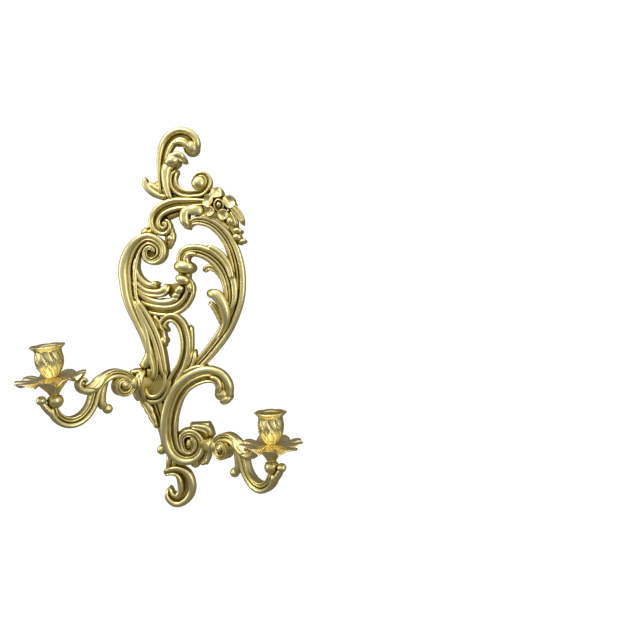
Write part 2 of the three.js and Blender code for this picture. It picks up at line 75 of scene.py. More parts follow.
def make_camera():
    data = bpy.data.cameras.new("camera")
    data.lens = CAMERA_LENS
    camera = linked("camera", data)
    camera.location = CAMERA_PLACE
    camera.rotation_euler = (math.radians(CAMERA_PITCH), 0.0, 0.0)
    bpy.context.scene.camera = camera


# ---- plain meshes ----

def new_object(name, vertices, faces):
    """A mesh object from vertices in millimetres."""
    mesh = bpy.data.meshes.new(name)
    mesh.from_pydata([tuple(v) for v in np.asarray(vertices) * MM], [], faces)
    mesh.update()
    return linked(name, mesh)


def solid(name, vertices, faces):
    """A closed skin in millimetres, with every face turned to the outside."""
    obj = new_object(name, vertices, faces)
    mesh = bmesh.new()
    mesh.from_mesh(obj.data)
    bmesh.ops.recalc_face_normals(mesh, faces=mesh.faces)
    if mesh.calc_volume(signed=True) < 0:
        bmesh.ops.reverse_faces(mesh, faces=mesh.faces)
    mesh.to_mesh(obj.data)
    mesh.free()
    return obj


def closed_rows(rows, name="part"):
    """Joins equal rings of points into one closed skin with its two ends filled."""
    size = len(rows[0])
    faces = []
    for k in range(len(rows) - 1):
        for j in range(size):
            n = (j + 1) % size
            faces.append((k * size + j, k * size + n, (k + 1) * size + n, (k + 1) * size + j))
    faces.append(tuple(range(size))[::-1])
    faces.append(tuple((len(rows) - 1) * size + j for j in range(size)))
    return solid(name, np.vstack(rows), faces)


def box_solid(low, high):
    corners = [(x, y, z) for x in (low[0], high[0]) for y in (low[1], high[1]) for z in (low[2], high[2])]
    faces = [(0, 1, 3, 2), (4, 6, 7, 5), (0, 4, 5, 1), (2, 3, 7, 6), (0, 2, 6, 4), (1, 5, 7, 3)]
    return solid("box", corners, faces)


def turned(profile, sides, place, ripple=None, name="part"):
    """A solid turned about the place's Z, from (radius, height) points from the axis and back to it.

    ripple(radius, height, angle) returns the radius and height that a point gets instead.
    """
    def moved(radius, height, angle):
        return ripple(radius, height, angle) if ripple else (radius, height)

    vertices = []
    rings = []
    for radius, height in profile:
        if radius == 0:
            rings.append([len(vertices)])
            vertices.append((0.0, 0.0, moved(0.0, height, 0.0)[1]))
            continue
        ring = []
        for k in range(sides):
            angle = 2 * math.pi * k / sides
            r, h = moved(radius, height, angle)
            ring.append(len(vertices))
            vertices.append((r * math.cos(angle), r * math.sin(angle), h))
        rings.append(ring)
    faces = []
    for low, high in zip(rings, rings[1:]):
        for k in range(sides):
            n = (k + 1) % sides
            if len(low) == 1:
                faces.append((low[0], high[k], high[n]))
            elif len(high) == 1:
                faces.append((low[k], low[n], high[0]))
            else:
                faces.append((low[k], low[n], high[n], high[k]))
    return solid(name, [place @ Vector(v) for v in vertices], faces)


QUARTER = math.pi / 2


def out_of_wall(x, z):
    """A place on the wall at (x, z) whose Z points out of it."""
    return Matrix.Translation((x, 0, z)) @ Matrix.Rotation(QUARTER, 4, "X")


# ---- unions, and the clean-up after them ----

def combined(name, operation, first, others):
    """The first closed solid with the others united with it, or cut from it, as one skin."""
    group = bpy.data.collections.new(name + "_operands")
    for obj in others:
        group.objects.link(obj)
    modifier = first.modifiers.new(name, "BOOLEAN")
    modifier.operation = operation
    modifier.operand_type = "COLLECTION"
    modifier.collection = group
    modifier.solver = "MANIFOLD"
    graph = bpy.context.evaluated_depsgraph_get()
    mesh = bpy.data.meshes.new_from_object(first.evaluated_get(graph))
    obj = linked(name, mesh)
    for old in (first, *others):
        bpy.data.objects.remove(old, do_unlink=True)
    bpy.data.collections.remove(group)
    return obj


WELD = 0.02 * MM


def cleaned(obj):
    """Welds the slivers that a union leaves, and drops folds, loose scraps and shut-in bubbles."""
    mesh = bmesh.new()
    mesh.from_mesh(obj.data)
    bmesh.ops.triangulate(mesh, faces=mesh.faces)
    bmesh.ops.remove_doubles(mesh, verts=mesh.verts, dist=WELD)
    bmesh.ops.dissolve_degenerate(mesh, edges=mesh.edges, dist=WELD / 2)
    bmesh.ops.triangulate(mesh, faces=mesh.faces)
    mesh.verts.index_update()
    by_corners = {}
    for face in mesh.faces:
        by_corners.setdefault(frozenset(v.index for v in face.verts), []).append(face)
    folds = [face for same in by_corners.values() if len(same) > 1 for face in same]
    bmesh.ops.delete(mesh, geom=folds, context="FACES")
    bmesh.ops.delete(mesh, geom=[v for v in mesh.verts if not v.link_faces], context="VERTS")
    scraps = [vertex for island in islands(mesh)[:-1] for vertex in island]
    bmesh.ops.delete(mesh, geom=scraps, context="VERTS")
    mesh.to_mesh(obj.data)
    mesh.free()
    return obj


def islands(mesh):
    """Lists of the vertices that hang together, the largest last."""
    left = set(mesh.verts)
    found = []
    for start in list(mesh.verts):
        if start not in left:
            continue
        left.discard(start)
        island = [start]
        for vertex in island:
            for edge in vertex.link_edges:
                other = edge.other_vert(vertex)
                if other in left:
                    left.discard(other)
                    island.append(other)
        found.append(island)
    return sorted(found, key=len)


# ---- centre lines and sections of cast members ----

SPAN_SAMPLES = 24


def between(t, a, t_a, b, t_b):
    """The value at t on a straight line from a at t_a to b at t_b."""
    return (t_b - t) / (t_b - t_a) * a + (t - t_a) / (t_b - t_a) * b


def curve_samples(points, step):
    """Rows on a centripetal Catmull-Rom curve through rows of two coordinates and values.

    Also returns how far along the curve each lies, at an even step.
    """
    pts = np.array(points, float)
    pts = np.vstack([2 * pts[0] - pts[1], pts, 2 * pts[-1] - pts[-2]])
    out = []
    for i in range(1, len(pts) - 2):
        p0, p1, p2, p3 = pts[i - 1:i + 3]
        knots = np.cumsum([0.0] + [max(np.linalg.norm((b - a)[:2]), 1e-6) ** 0.5
                                   for a, b in ((p0, p1), (p1, p2), (p2, p3))])
        t0, t1, t2, t3 = knots
        for t in np.linspace(t1, t2, SPAN_SAMPLES, endpoint=False):
            a1 = between(t, p0, t0, p1, t1)
            a2 = between(t, p1, t1, p2, t2)
            a3 = between(t, p2, t2, p3, t3)
            b1 = between(t, a1, t0, a2, t2)
            b2 = between(t, a2, t1, a3, t3)
            out.append(between(t, b1, t1, b2, t2))
    out.append(pts[-2])
    out = np.array(out)
    along = np.concatenate([[0.0], np.cumsum(np.linalg.norm(np.diff(out[:, :2], axis=0), axis=1))])
    count = max(4, int(round(along[-1] / step)) + 1)
    even = np.linspace(0.0, along[-1], count)
    return np.column_stack([np.interp(even, along, out[:, k]) for k in range(out.shape[1])]), even


def flat_left(line):
    """Unit vectors to the left of the way a flat line runs."""
    heading = np.gradient(line[:, :2], axis=0)
    heading /= np.linalg.norm(heading, axis=1)[:, None]
    return np.column_stack([-heading[:, 1], heading[:, 0]])


LEAST_WIDTH = 0.05


def round_ends(along, first, last):
    """The share of the width that is left near two round ends, given their reaches."""
    share = np.ones(len(along))
    for reach, distance in ((first, along), (last, along[-1] - along)):
        near = np.clip(distance / reach, 0.0, 1.0)
        share *= np.maximum(np.sqrt(1 - (1 - near) ** 2), LEAST_WIDTH)
    return share


FACE_SAMPLES = 27
RIDGE_ROUNDNESS = 0.9
# the rest of a section as (across, share of the front): down one side, a hollow rear, up the other
SIDE_AND_REAR = [
    (0.93, 0.40), (0.80, 0.14), (0.62, 0.0), (0.46, 0.0), (0.30, 0.20), (0.0, 0.28), (-0.30, 0.20),
    (-0.46, 0.0), (-0.62, 0.0), (-0.80, 0.14), (-0.93, 0.40)]


def relief(beads, floor):
    """The section of a cast member as rows of (across, share of the front, sunk), a closed loop.

    across runs over the width from -1 to 1, +1 being on the left of the way the member runs. sunk is
    how far a point lies under the front, in half widths. beads are (centre, reach, sunk) round ridges
    and floor is how far the ground between them is sunk.
    """
    across = np.linspace(-1, 1, FACE_SAMPLES)
    sunk = np.full(FACE_SAMPLES, float(floor))
    for centre, reach, top in beads:
        offset = np.clip(np.abs(across - centre) / reach, 0, 1)
        ridge = top + RIDGE_ROUNDNESS * reach * (1 - np.sqrt(1 - offset ** 2))
        sunk = np.where(offset < 1, np.minimum(sunk, ridge), sunk)
    face = [(a, 1.0, d) for a, d in zip(across, sunk)]
    return np.array(face + [(a, share, 0.0) for a, share in SIDE_AND_REAR])


def flipped(section):
    return section[::-1] * [-1, 1, 1]


BEAD = relief([(0, 1, 0)], 1)
BAND = relief([(0.30, 0.70, 0), (-0.66, 0.34, 0.16)], 0.7)
SCROLL = relief([(0.56, 0.44, 0), (-0.64, 0.36, 0.06)], 0.72)
WIDE = relief([(0.48, 0.52, 0), (-0.18, 0.15, 0.20), (-0.84, 0.18, 0.02)], 0.60)
ARC = relief([(0.54, 0.46, 0), (-0.10, 0.17, 0.10), (-0.66, 0.36, 0.20)], 0.52)
LEAF = relief([(0.70, 0.30, 0.16), (0.0, 0.44, 0), (-0.70, 0.30, 0.16)], 0.5)
TWIN = relief([(0.5, 0.5, 0), (-0.5, 0.5, 0.12)], 0.8)
FLAT = BEAD * [1, 1, 0.4]

PLATE_STEP = 2.0
TIP_REACH = 0.7  # how far a member runs on past its last points, in half widths
END_REACH = 1.2  # how far in from an end its front is lowered, in widths
END_FRONT = 0.55  # share of the front that is left at the very end
LOBE_FULLNESS = 0.6  # the lower, the fuller the lobes of a leafy edge
LOBE_SINK = 0.6  # how far the front sinks between lobes, as a share of their depth


def tip(end, inner):
    """The row past an end of a centre line, where its round end lies."""
    row = end.copy()
    away = (end - inner)[:2]
    row[:2] += away / np.linalg.norm(away) * TIP_REACH * end[2] / 2
    return row


def swept(name, points, section, lobes=None):
    """A plate member along (x, z, width, front) points. lobes is (wavelength, depth) of a leafy edge."""
    line = np.array(points, float)
    line = np.vstack([tip(line[0], line[1]), line, tip(line[-1], line[-2])])
    line, along = curve_samples(line, PLATE_STEP)
    left = flat_left(line)
    first, last = line[0, 2], line[-1, 2]
    half = line[:, 2] / 2 * round_ends(along, max(first / 2, PLATE_STEP), max(last / 2, PLATE_STEP))
    level = END_FRONT + (1 - END_FRONT) * round_ends(along, END_REACH * first, END_REACH * last)
    front = line[:, 3] * level
    if lobes:
        wave, depth = lobes
        beat = np.abs(np.sin(math.pi * along / wave)) ** LOBE_FULLNESS
        half = half * (1 - depth * (1 - beat))
        front = front - LOBE_SINK * depth * line[:, 2] / 2 * (1 - beat)
    rows = []
    for k in range(len(along)):
        across = section[:, 0] * half[k]
        out = section[:, 1] * front[k] - section[:, 2] * half[k]
        rows.append(np.column_stack([
            line[k, 0] + left[k, 0] * across, -out, line[k, 1] + left[k, 1] * across]))
    return closed_rows(rows, name)


# ---- finish of a piece ----

SHARP_ANGLE = math.radians(38.0)


def dress(obj, material, body, node):
    """Shades a casting smooth, marks its recesses for patina and painted shade, gives it its material and
    ties it to its CAD body.
    """
    mesh = obj.data
    mesh.name = obj.name
    mesh.materials.clear()
    mesh.materials.append(material)
    mesh.polygons.foreach_set("use_smooth", [True] * len(mesh.polygons))
    mesh.set_sharp_from_angle(angle=SHARP_ANGLE)
    mark_patina_and_shade(obj)
    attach(obj, body)
    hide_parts(node)


# rays that measure how shut in a point is; the result darkens the colour as patina and as painted shade
RAYS = 14
RAY_REACH = 14.0 * MM
RAY_START = 0.25 * MM
FAR_LOSS = 0.6  # how much less a wall at a ray's full reach shuts a point in


def sky_directions():
    """Even directions on a half sphere about +Z, weighted to the pole."""
    out = []
    for k in range(RAYS):
        z = math.sqrt((k + 0.5) / RAYS)
        angle = math.pi * (1 + 5 ** 0.5) * k
        r = math.sqrt(1 - z * z)
        out.append(Vector((r * math.cos(angle), r * math.sin(angle), z)))
    return out


def mark_patina_and_shade(obj):
    """Writes how shut in each vertex is, 0 open to 1 buried, as the attribute that darkens the brass in its
    hollows: partly patina, partly painted shade.
    """
    mesh = obj.data
    tree = BVHTree.FromObject(obj, bpy.context.evaluated_depsgraph_get())
    rays = sky_directions()
    values = np.zeros(len(mesh.vertices))
    for vertex in mesh.vertices:
        normal = vertex.normal
        turn = normal.to_track_quat("Z", "Y").to_matrix()
        start = vertex.co + normal * RAY_START
        shut = 0.0
        for ray in rays:
            distance = tree.ray_cast(start, turn @ ray, RAY_REACH)[3]
            if distance is not None:
                shut += 1.0 - FAR_LOSS * distance / RAY_REACH
        values[vertex.index] = shut / RAYS
    edges = np.array([e.vertices[:] for e in mesh.edges])
    total = values.copy()
    count = np.ones(len(values))
    for near, far in (edges.T, edges.T[::-1]):
        np.add.at(total, near, values[far])
        np.add.at(count, near, 1)
    # this occlusion is painted into the colour: the recess attribute stands for the patina of the hollows
    # and for painted shade
    attribute = mesh.attributes.new("recess_patina_and_shade", "FLOAT", "POINT")
    attribute.data.foreach_set("value", total / count)


# ---- materials ----

def give(tree, socket, value):
    """Links another socket to an input, or sets a value on it."""
    if isinstance(value, bpy.types.NodeSocket):
        tree.links.new(value, socket)
    else:
        socket.default_value = value


def feed(tree, node, **inputs):
    """Gives each named input a socket or a value. A name has _ for its spaces."""
    for name, value in inputs.items():
        give(tree, node.inputs[name.replace("_", " ")], value)
    return node


def add(tree, kind, **inputs):
    return feed(tree, tree.nodes.new("ShaderNode" + kind), **inputs)


def metal(name):
    """A new metallic material with its node tree, shader and object coordinates."""
    material = bpy.data.materials.new(name)
    material.use_nodes = True
    tree = material.node_tree
    shader = feed(tree, tree.nodes["Principled BSDF"], Metallic=1.0)
    return material, tree, shader, add(tree, "TexCoord").outputs["Object"]


def noise(tree, place, scale, detail):
    return add(tree, "TexNoise", Vector=place, Scale=scale, Detail=detail).outputs["Fac"]


def arithmetic(tree, kind, a, b):
    node = add(tree, "Math")
    node.operation = kind
    give(tree, node.inputs[0], a)
    give(tree, node.inputs[1], b)
    return node.outputs["Value"]


def colour_ramp(tree, value, stops):
    """A ramp of (position, colour) stops, lowest first."""
    node = add(tree, "ValToRGB", Fac=value)
    elements = node.color_ramp.elements
    for element, (position, colour) in zip(elements, (stops[0], stops[-1])):
        element.position = position
        element.color = (*colour, 1)
    for position, colour in stops[1:-1]:
        elements.new(position).color = (*colour, 1)
    return node


def finish_metal(tree, shader, colour, rough, relief_of):
    """Feeds the shader. rough is (value, its top, roughness at 0, roughness at the top), and relief_of
    is (height, strength, depth) of the bump."""
    value, top, low, high = rough
    mapped = add(tree, "MapRange", Value=value, From_Max=top, To_Min=low, To_Max=high)
    height, strength, depth = relief_of
    bump = add(tree, "Bump", Height=height, Strength=strength, Distance=depth)
    feed(tree, shader, Base_Color=colour, Roughness=mapped.outputs["Result"], Normal=bump.outputs["Normal"])


# noise of the brass as (scale, detail)
STAIN = (90.0, 5.0)
GRAIN = (900.0, 4.0)
WANDER = (18.0, 2.0)
STAIN_SPREAD = 0.34
WARM_TINT = (1.0, 0.93, 0.76, 1)
WARM_SHARE = 0.6
EDGE_TINT = (0.86, 0.72, 0.38, 1)


def brass_material(name, bright, mid, dark, tone, rough):
    """Cast brass: polished high parts, and olive-brown patina with painted shade where the recess attribute
    is high.

    tone holds where the three colours lie on the scale of patina and painted shade, and rough is the
    roughness of the polished and of the stained metal.
    """
    material, tree, shader, place = metal(name)
    feed(tree, shader, IOR=1.45, Specular_Tint=EDGE_TINT)
    # the recess attribute paints shade into the hollows along with their patina
    recess_patina_and_shade = add(tree, "Attribute")
    recess_patina_and_shade.attribute_name = "recess_patina_and_shade"
    stain = noise(tree, place, *STAIN)
    grain = noise(tree, place, *GRAIN)
    wander = noise(tree, place, *WANDER)

    # patina and painted shade = the recess attribute, broken up by the stain, less what wear has polished
    # off the edges
    stained = arithmetic(tree, "MULTIPLY", arithmetic(tree, "SUBTRACT", stain, 0.5), STAIN_SPREAD)
    worn = arithmetic(tree, "SUBTRACT", add(tree, "NewGeometry").outputs["Pointiness"], 0.5)
    patina_and_shade = arithmetic(tree, "SUBTRACT", arithmetic(tree, "ADD", recess_patina_and_shade.outputs["Fac"], stained), worn)
    ramp = colour_ramp(tree, patina_and_shade, list(zip(tone, (bright, mid, dark))))
    ramp.color_ramp.interpolation = "EASE"
    warm = add(tree, "MixRGB", Fac=arithmetic(tree, "MULTIPLY", wander, WARM_SHARE),
               Color1=ramp.outputs["Color"], Color2=WARM_TINT)
    warm.blend_type = "MULTIPLY"
    dull = arithmetic(tree, "ADD", patina_and_shade, arithmetic(tree, "MULTIPLY", grain, 0.15))
    height = arithmetic(tree, "ADD", arithmetic(tree, "MULTIPLY", grain, 0.4), stain)
    finish_metal(tree, shader, warm.outputs["Color"], (dull, 0.75, *rough), (height, 0.15, 0.35 * MM))
    return material


RUST = (0.20, 0.13, 0.09)
BARE_STEEL = (0.50, 0.49, 0.47)


def steel_material():
    """Dull fastener steel, mottled, with a little rust in the grain."""
    material, tree, shader, place = metal("fastener_steel")
    mottle = noise(tree, place, 420.0, 6.0)
    ramp = colour_ramp(tree, mottle, [(0.35, RUST), (0.55, BARE_STEEL)])
    finish_metal(tree, shader, ramp.outputs["Color"], (mottle, 1.0, 0.55, 0.3), (mottle, 0.3, 0.2 * MM))
    return material


# ---- the back plate's members: (name, section, front, points of (x, z, width[, front])[, lobes]) ----

PLATE = [
    ("crest_hook", SCROLL, 16, [
        (-19, 2, 9), (-20, 20, 9.5), (-19.5, 32, 11.5), (-18, 45, 14), (-14.5, 57, 16.5), (-8, 65.5, 17.5),
        (1, 69.5, 18), (9.5, 67.5, 18), (14.8, 62, 18.5), (15, 56.5, 18.5)]),
    ("crest_hook_curl", BEAD, 18, [(-5, 60, 4), (3, 60.5, 6), (8.5, 57.5, 7), (9.5, 53, 7)]),
    ("crest_leaf", BEAD, 19, [(-9, -4, 5), (-13.5, 8, 7.5), (-15, 20, 10), (-14, 31, 13), (-9, 38, 14)]),
    ("crest_leaf_tip", BAND, 21, [(-13, 34, 10), (-7, 42, 12), (0, 44.5, 12), (5.5, 41, 9)], (5.5, 0.22)),
    ("crest_scroll", flipped(SCROLL), 15, [
        (-3, 29, 6), (-7.5, 21, 9.5), (-6.5, 12.5, 10.5), (-1, 6, 10.5), (7, 3, 10), (16, 3, 9.5),
        (25, 4.5, 9.5), (31, 10.5, 9), (33, 18.5, 8.5), (29, 24.5, 7.5), (22, 24.5, 6), (17, 20, 5)]),
    ("left_leaf", BEAD, 14, [(-12, -1, 6), (-22, 1, 8), (-32, 6, 9), (-39, 13.5, 7.5), (-40, 21.5, 4)]),
    ("left_leaf_2", BEAD, 13.5, [(-12, 5, 6), (-23, 7.5, 8), (-31.5, 12.5, 7.5), (-35.5, 16.5, 4.5)]),
    ("left_leaf_3", BEAD, 13.5, [(-12, 9, 5), (-20, 12, 8), (-27.5, 16, 5.5)]),
    ("left_leaf_4", BEAD, 13, [(-12, 12, 6), (-17, 14, 7), (-22, 17, 5)]),
    ("web", BAND, 10, [(-14, 0, 12), (4, -3, 13), (22, -3, 11), (34, -5, 9)]),
    ("shoulder", flipped(SCROLL), 17, [
        (36, -7, 7), (20, -7, 10), (8, -8, 13.5), (-5, -9, 16), (-16, -12.5, 16), (-24.5, -19, 15),
        (-28.5, -28, 14), (-25.5, -36.5, 12.5), (-18, -39.5, 10.5), (-13, -35, 8.5), (-13.5, -29.5, 6.5),
        (-17.5, -27.5, 5)]),
    ("shoulder_wing", BEAD, 12, [(2, -17, 4), (-9, -21, 6), (-16, -24, 6)]),
    ("knuckle_right", BAND, 14, [(-14, -35, 12), (-11.5, -45, 13), (-15, -56, 10)], (5, 0.2)),
    ("knuckle_left", BAND, 14, [(-26, -36, 14), (-35, -38.5, 13), (-43, -41.5, 10)], (5, 0.2)),
    ("outer_arc", ARC, 16, [
        (10, -33, 6), (14, -29, 8), (22, -27, 11), (35, -30, 12.5), (47, -39, 14), (57, -53, 15.5),
        (64, -74, 17), (66.5, -94, 17), (65, -115, 17), (59, -135, 17), (49.5, -155, 16.5), (38, -171, 15.5),
        (27, -184, 14.5), (16, -195, 13), (4, -206, 12)]),
    ("ribbon", FLAT, 20, [(8, -15.5, 10), (18, -16, 11), (26, -16.5, 10.5)]),
    ("ribbon_next", FLAT, 19, [(29, -17, 10), (37, -18, 10), (46, -23, 8)]),
    ("ribbon_under", BEAD, 16, [(20, -22, 8), (36, -24, 9), (48, -30, 9), (56, -38, 7)]),
    ("ribbon_fold", BEAD, 20, [(12, -13, 9), (6.5, -18.5, 12), (6, -27, 12), (9.5, -34.5, 8)], (8, 0.1)),
    ("trailing_leaf", LEAF, 19, [(56, -8, 8), (64, -16, 10), (70, -25, 8), (72, -31, 4)], (5, 0.16)),
    ("trailing_stem", BEAD, 15, [(51, -22, 11), (59, -32, 12), (65, -43, 11), (68.5, -52, 8)]),
    ("trailing_leaf_2", LEAF, 18, [(58, -16, 7), (62, -26, 9), (64.5, -35, 5)]),
    ("main_scroll", flipped(WIDE), 20, [
        (-29.5, -65, 3.5), (-29, -61, 4), (-32.5, -58.2, 4.5), (-37, -59.8, 5), (-39, -65, 5.5),
        (-37, -71, 6.5), (-31, -74, 8), (-25, -72, 9.5), (-20.5, -66.5, 10.5), (-20.5, -57.5, 11.5),
        (-27, -50.5, 12.5), (-36, -48, 13.5), (-45, -52, 16), (-52, -60, 19), (-57, -71, 21.5),
        (-59.7, -84, 22), (-59, -98, 21), (-57.5, -112, 19), (-53, -127, 17.5), (-46, -143, 16),
        (-39.5, -158, 15), (-35, -172, 14), (-32, -184, 12), (-30, -194, 9), (-30.5, -205, 7.5),
        (-34, -210.5, 6)]),
    ("main_strand", BEAD, 20, [
        (-52, -118, 5), (-46, -135, 6), (-40, -152, 7), (-37, -168, 7.5), (-36.5, -181, 11), (-40, -190, 13),
        (-46, -194, 8)]),
    ("tongue", TWIN, 21, [
        (-50, -118, 8), (-40, -135, 11), (-31, -153, 12), (-25, -170, 11.5), (-21, -187, 9.5),
        (-18.5, -205, 8.5)]),
    ("tongue_lobes", BAND, 17, [
        (-32, -136, 7), (-24.5, -147, 9), (-21, -160, 9), (-20, -171, 6)], (9, 0.22)),
    ("spoon_rim", BEAD, 20, [
        (-18.5, -198, 4), (-18.7, -212, 5), (-22, -222, 5), (-29, -228.5, 5.2), (-37, -228, 5),
        (-41, -221, 5), (-41, -214, 4.5)]),
    ("spoon_rim_outer", BEAD, 17, [
        (-13.5, -208, 5), (-16, -222, 5.5), (-24, -233, 6), (-35, -235.5, 6.5), (-44, -232, 6.5)]),
    ("spoon_leaf", LEAF, 18, [(-36.5, -196, 5), (-36.5, -206, 6), (-35.5, -216, 5)], (6, 0.15)),
    ("boss_frame_top", BEAD, 26, [(-57, -199.5, 4), (-43.5, -198.5, 4.5)]),
    ("boss_frame_left", BEAD, 26, [(-57, -200, 4), (-50, -210, 5)]),
    ("boss_frame_right", BEAD, 27, [(-42.5, -199, 5), (-49, -210, 5)]),
    ("boss_leaf_left", TWIN, 28, [
        (-43, -199, 8, 26), (-45.5, -208, 10, 29), (-45.5, -217, 11, 28), (-44.5, -227, 10, 25),
        (-42.5, -235, 7, 20)]),
    ("boss_strand_left", BEAD, 23.5, [(-55, -206, 5), (-53.5, -216, 6.5), (-51, -226, 6.5), (-48, -233, 5)]),
    ("boss_leaf_right", BAND, 19, [(10, -264, 5), (20, -265, 8), (29, -268, 10), (33, -276, 9)]),
    ("boss_leaf_low", BAND, 18, [(30, -284, 7), (30, -295, 8), (27.5, -304, 8), (21, -308, 6)]),
    ("fan_upper", BEAD, 18, [
        (-49.5, -70, 4), (-51, -82, 6.5), (-46.5, -93, 8), (-38, -100, 8.5), (-28, -102, 7.5)]),
    ("fan_tip", BEAD, 18, [(-33, -100, 5), (-27, -98.5, 6)]),
    ("fan_middle", BAND, 18, [
        (-53, -96, 8), (-42, -107, 9.5), (-30, -110, 10), (-20, -108.5, 10.5), (-15, -101.5, 8)]),
    ("fan_lower", BEAD, 17, [
        (-52, -106, 8), (-37, -117, 9), (-25, -120.5, 9), (-12, -119.5, 9), (-3, -114.5, 6)]),
    ("fan_sweep", SCROLL, 16, [
        (-58, -115, 9), (-48, -122, 11), (-38, -127, 13), (-25, -130, 14), (-12, -130, 14), (-2, -126.5, 14),
        (6, -119, 13), (10.5, -109, 12), (9.5, -99, 11), (2, -92.5, 10)]),
    ("twist_core", BEAD, 14, [(4, -82, 16), (4, -100, 15)]),
    ("inner_arc", ARC, 18, [
        (4, -82, 10), (2, -71, 12), (6.5, -63.5, 14), (16, -61, 14.5), (27, -63, 15.5), (37, -68, 17),
        (46, -76.5, 18), (53, -88, 18), (57, -102, 18), (57.5, -118, 15), (54, -132, 9)]),
    ("inner_curl", BEAD, 21, [(20, -65.5, 4), (11, -66, 6), (7.5, -71, 7), (10, -78, 7)]),
    ("inner_overlay", BAND, 20, [(31, -57, 5), (38, -60, 8), (46, -66, 9), (55, -78, 8), (60, -95, 6)]),
    ("inner_lip", BAND, 15, [
        (27, -83.5, 7), (33, -80, 8), (41, -83, 9), (49, -93, 9), (53, -107, 8)], (6, 0.2)),
    ("thumb_leaf", BEAD, 23, [
        (40, -165, 4, 14), (47.5, -154, 7, 17), (52, -142, 10, 20), (51, -129, 13, 22), (46.5, -118, 14, 23),
        (40.5, -111.5, 13, 23), (32.5, -110, 9, 22)]),
    ("thumb_under", BAND, 16, [(49, -148, 7), (44, -137, 8), (39, -127, 8), (33, -121, 5)], (6, 0.15)),
    ("hook", SCROLL, 18, [
        (-17, -153, 7), (-21, -147.5, 9), (-17.5, -140.5, 10), (-9, -138, 12), (-1, -144, 13), (4, -156, 13),
        (5.5, -170, 13), (4, -182, 13), (0, -194, 14), (-6, -205, 15), (-12, -216, 15), (-18, -228, 13)]),
    ("hook_lobes", BEAD, 17, [(-22, -141, 9), (-27, -148, 11), (-27, -157, 9)], (9, 0.24)),
    ("stalk", TWIN, 14, [(9, -150, 9), (9.5, -163, 9), (9, -175, 9), (5, -190, 8)]),
    ("stalk_leaf", TWIN, 17, [(14, -178, 8), (12.5, -187, 9.5), (7, -198, 9), (-2, -209, 8)]),
    ("lower_scroll", flipped(WIDE), 20, [
        (48.5, -228.5, 21), (50, -221, 21), (48.5, -213, 19.5), (42, -205.5, 18.5), (30, -203, 20),
        (18, -206, 20.5), (6, -213, 20.5), (-4, -224, 21), (-10, -237, 21), (-14, -252, 21),
        (-15.5, -268, 21), (-14, -283, 20.5), (-8.5, -295, 18.5), (2, -301.5, 16.5), (13, -300, 14.5),
        (20.5, -292.5, 12.5), (21.5, -282, 10.5), (16, -273.5, 9.5), (8, -271, 9), (1, -275, 7.5),
        (0.5, -284, 5.5), (4, -292.5, 5), (10.5, -293.5, 4.6), (14.3, -287, 4.2), (13.3, -279.8, 3.8),
        (9.5, -277, 3.4)]),
    ("lower_curl", BEAD, 22, [(33, -206, 4), (41, -208.5, 6), (44.5, -216, 7), (42, -224.5, 8)]),
    ("lower_start", BAND, 19, [(2, -203, 5), (14, -197, 7), (27, -194.5, 6)]),
    ("side_leaf", ARC, 15, [
        (-36, -226, 18), (-31, -238, 18), (-26.5, -252, 17.5), (-22, -266, 15), (-19, -284, 12)]),
    ("side_leaf_tips", BAND, 17, [
        (-46, -234, 9), (-39, -243, 11), (-34, -254, 9), (-29, -266, 5)], (11, 0.26)),
    ("tail_stem", TWIN, 13, [(-13, -298, 14), (-15, -318, 13)]),
    ("tail", SCROLL, 16, [
        (-21, -320, 8), (-14, -317.5, 10), (-6, -318, 14), (0.5, -323.5, 20), (3.5, -332, 22),
        (3.5, -341, 22), (-1, -349, 19), (-8.5, -352.5, 16.5), (-15.5, -347.5, 13), (-17, -341, 9)]),
]

# raised bosses with a rounded edge: (x, z, radius, front)
DOMES = [
    (13, 56, 9, 15), (22, 15, 8.2, 20), (-17.5, -31, 4, 15), (-21, -165, 5, 19), (-25, -293, 5.5, 15),
    (14, -308.5, 6, 14), (-17, -8, 3, 14)]
# low discs that close the gaps behind the scrolls: (x, z, radius, front)
GROUNDS = [
    (6, -286, 18, 13), (-33, -65, 12, 14.5), (-31, -215, 12.5, 16.5), (-22, -124.5, 9, 9),
    (-6, -108, 10, 8), (-20, -30, 8, 8), (45, -224, 7, 12), (-16, -215, 10, 10), (16, -192, 9, 9)]
# rounded bulbs: (x, z, half length, half width, front, turn in degrees)
BULBS = [
    (5, -80, 12, 7.8, 23, -6), (3.5, -94.5, 8.5, 5.4, 23, -20), (-1, -106, 6.5, 4.6, 20, 50),
    (-5, -112.5, 5.5, 4, 18, 20), (11, -103, 4.5, 8, 19, 10), (8, -285.2, 6.2, 8.8, 18.8, 0),
    (51, -233, 8, 5.5, 18, 30), (46.5, -227, 9, 8, 19, 0), (-7.5, 39, 8.5, 6.6, 22.6, 20),
    (-40, -40, 5, 3.6, 15, 20), (-12, -47, 4, 5, 15, 0), (58, -28, 4.6, 3.6, 20.5, -60),
    (66, -38.5, 5.6, 3.2, 18.5, -10), (65.5, -46, 5.4, 4.2, 18.5, -25), (71.5, -50.5, 4.2, 2.6, 17, 20)]
# what stands round the left and the right arm's bolt: (front, outline of (x, z))
BLOCKS = [
    (22, [
        (-58, -199), (-43, -198), (-40.5, -205), (-42, -214), (-42, -222), (-39, -231), (-50, -234),
        (-52.5, -225), (-54, -213), (-58, -204)]),
    (15.5, [
        (8, -262), (30.6, -261), (34.7, -268.7), (36.7, -277), (31, -283), (29, -298), (32.5, -302),
        (29, -310), (19, -309)]),
]
DOME_DEPTH = 0.75
# a block's rings as (depth under its front, share of its outline)
BLOCK_BEVEL = [(2.5, 1.0), (1.0, 0.94), (0, 0.82)]


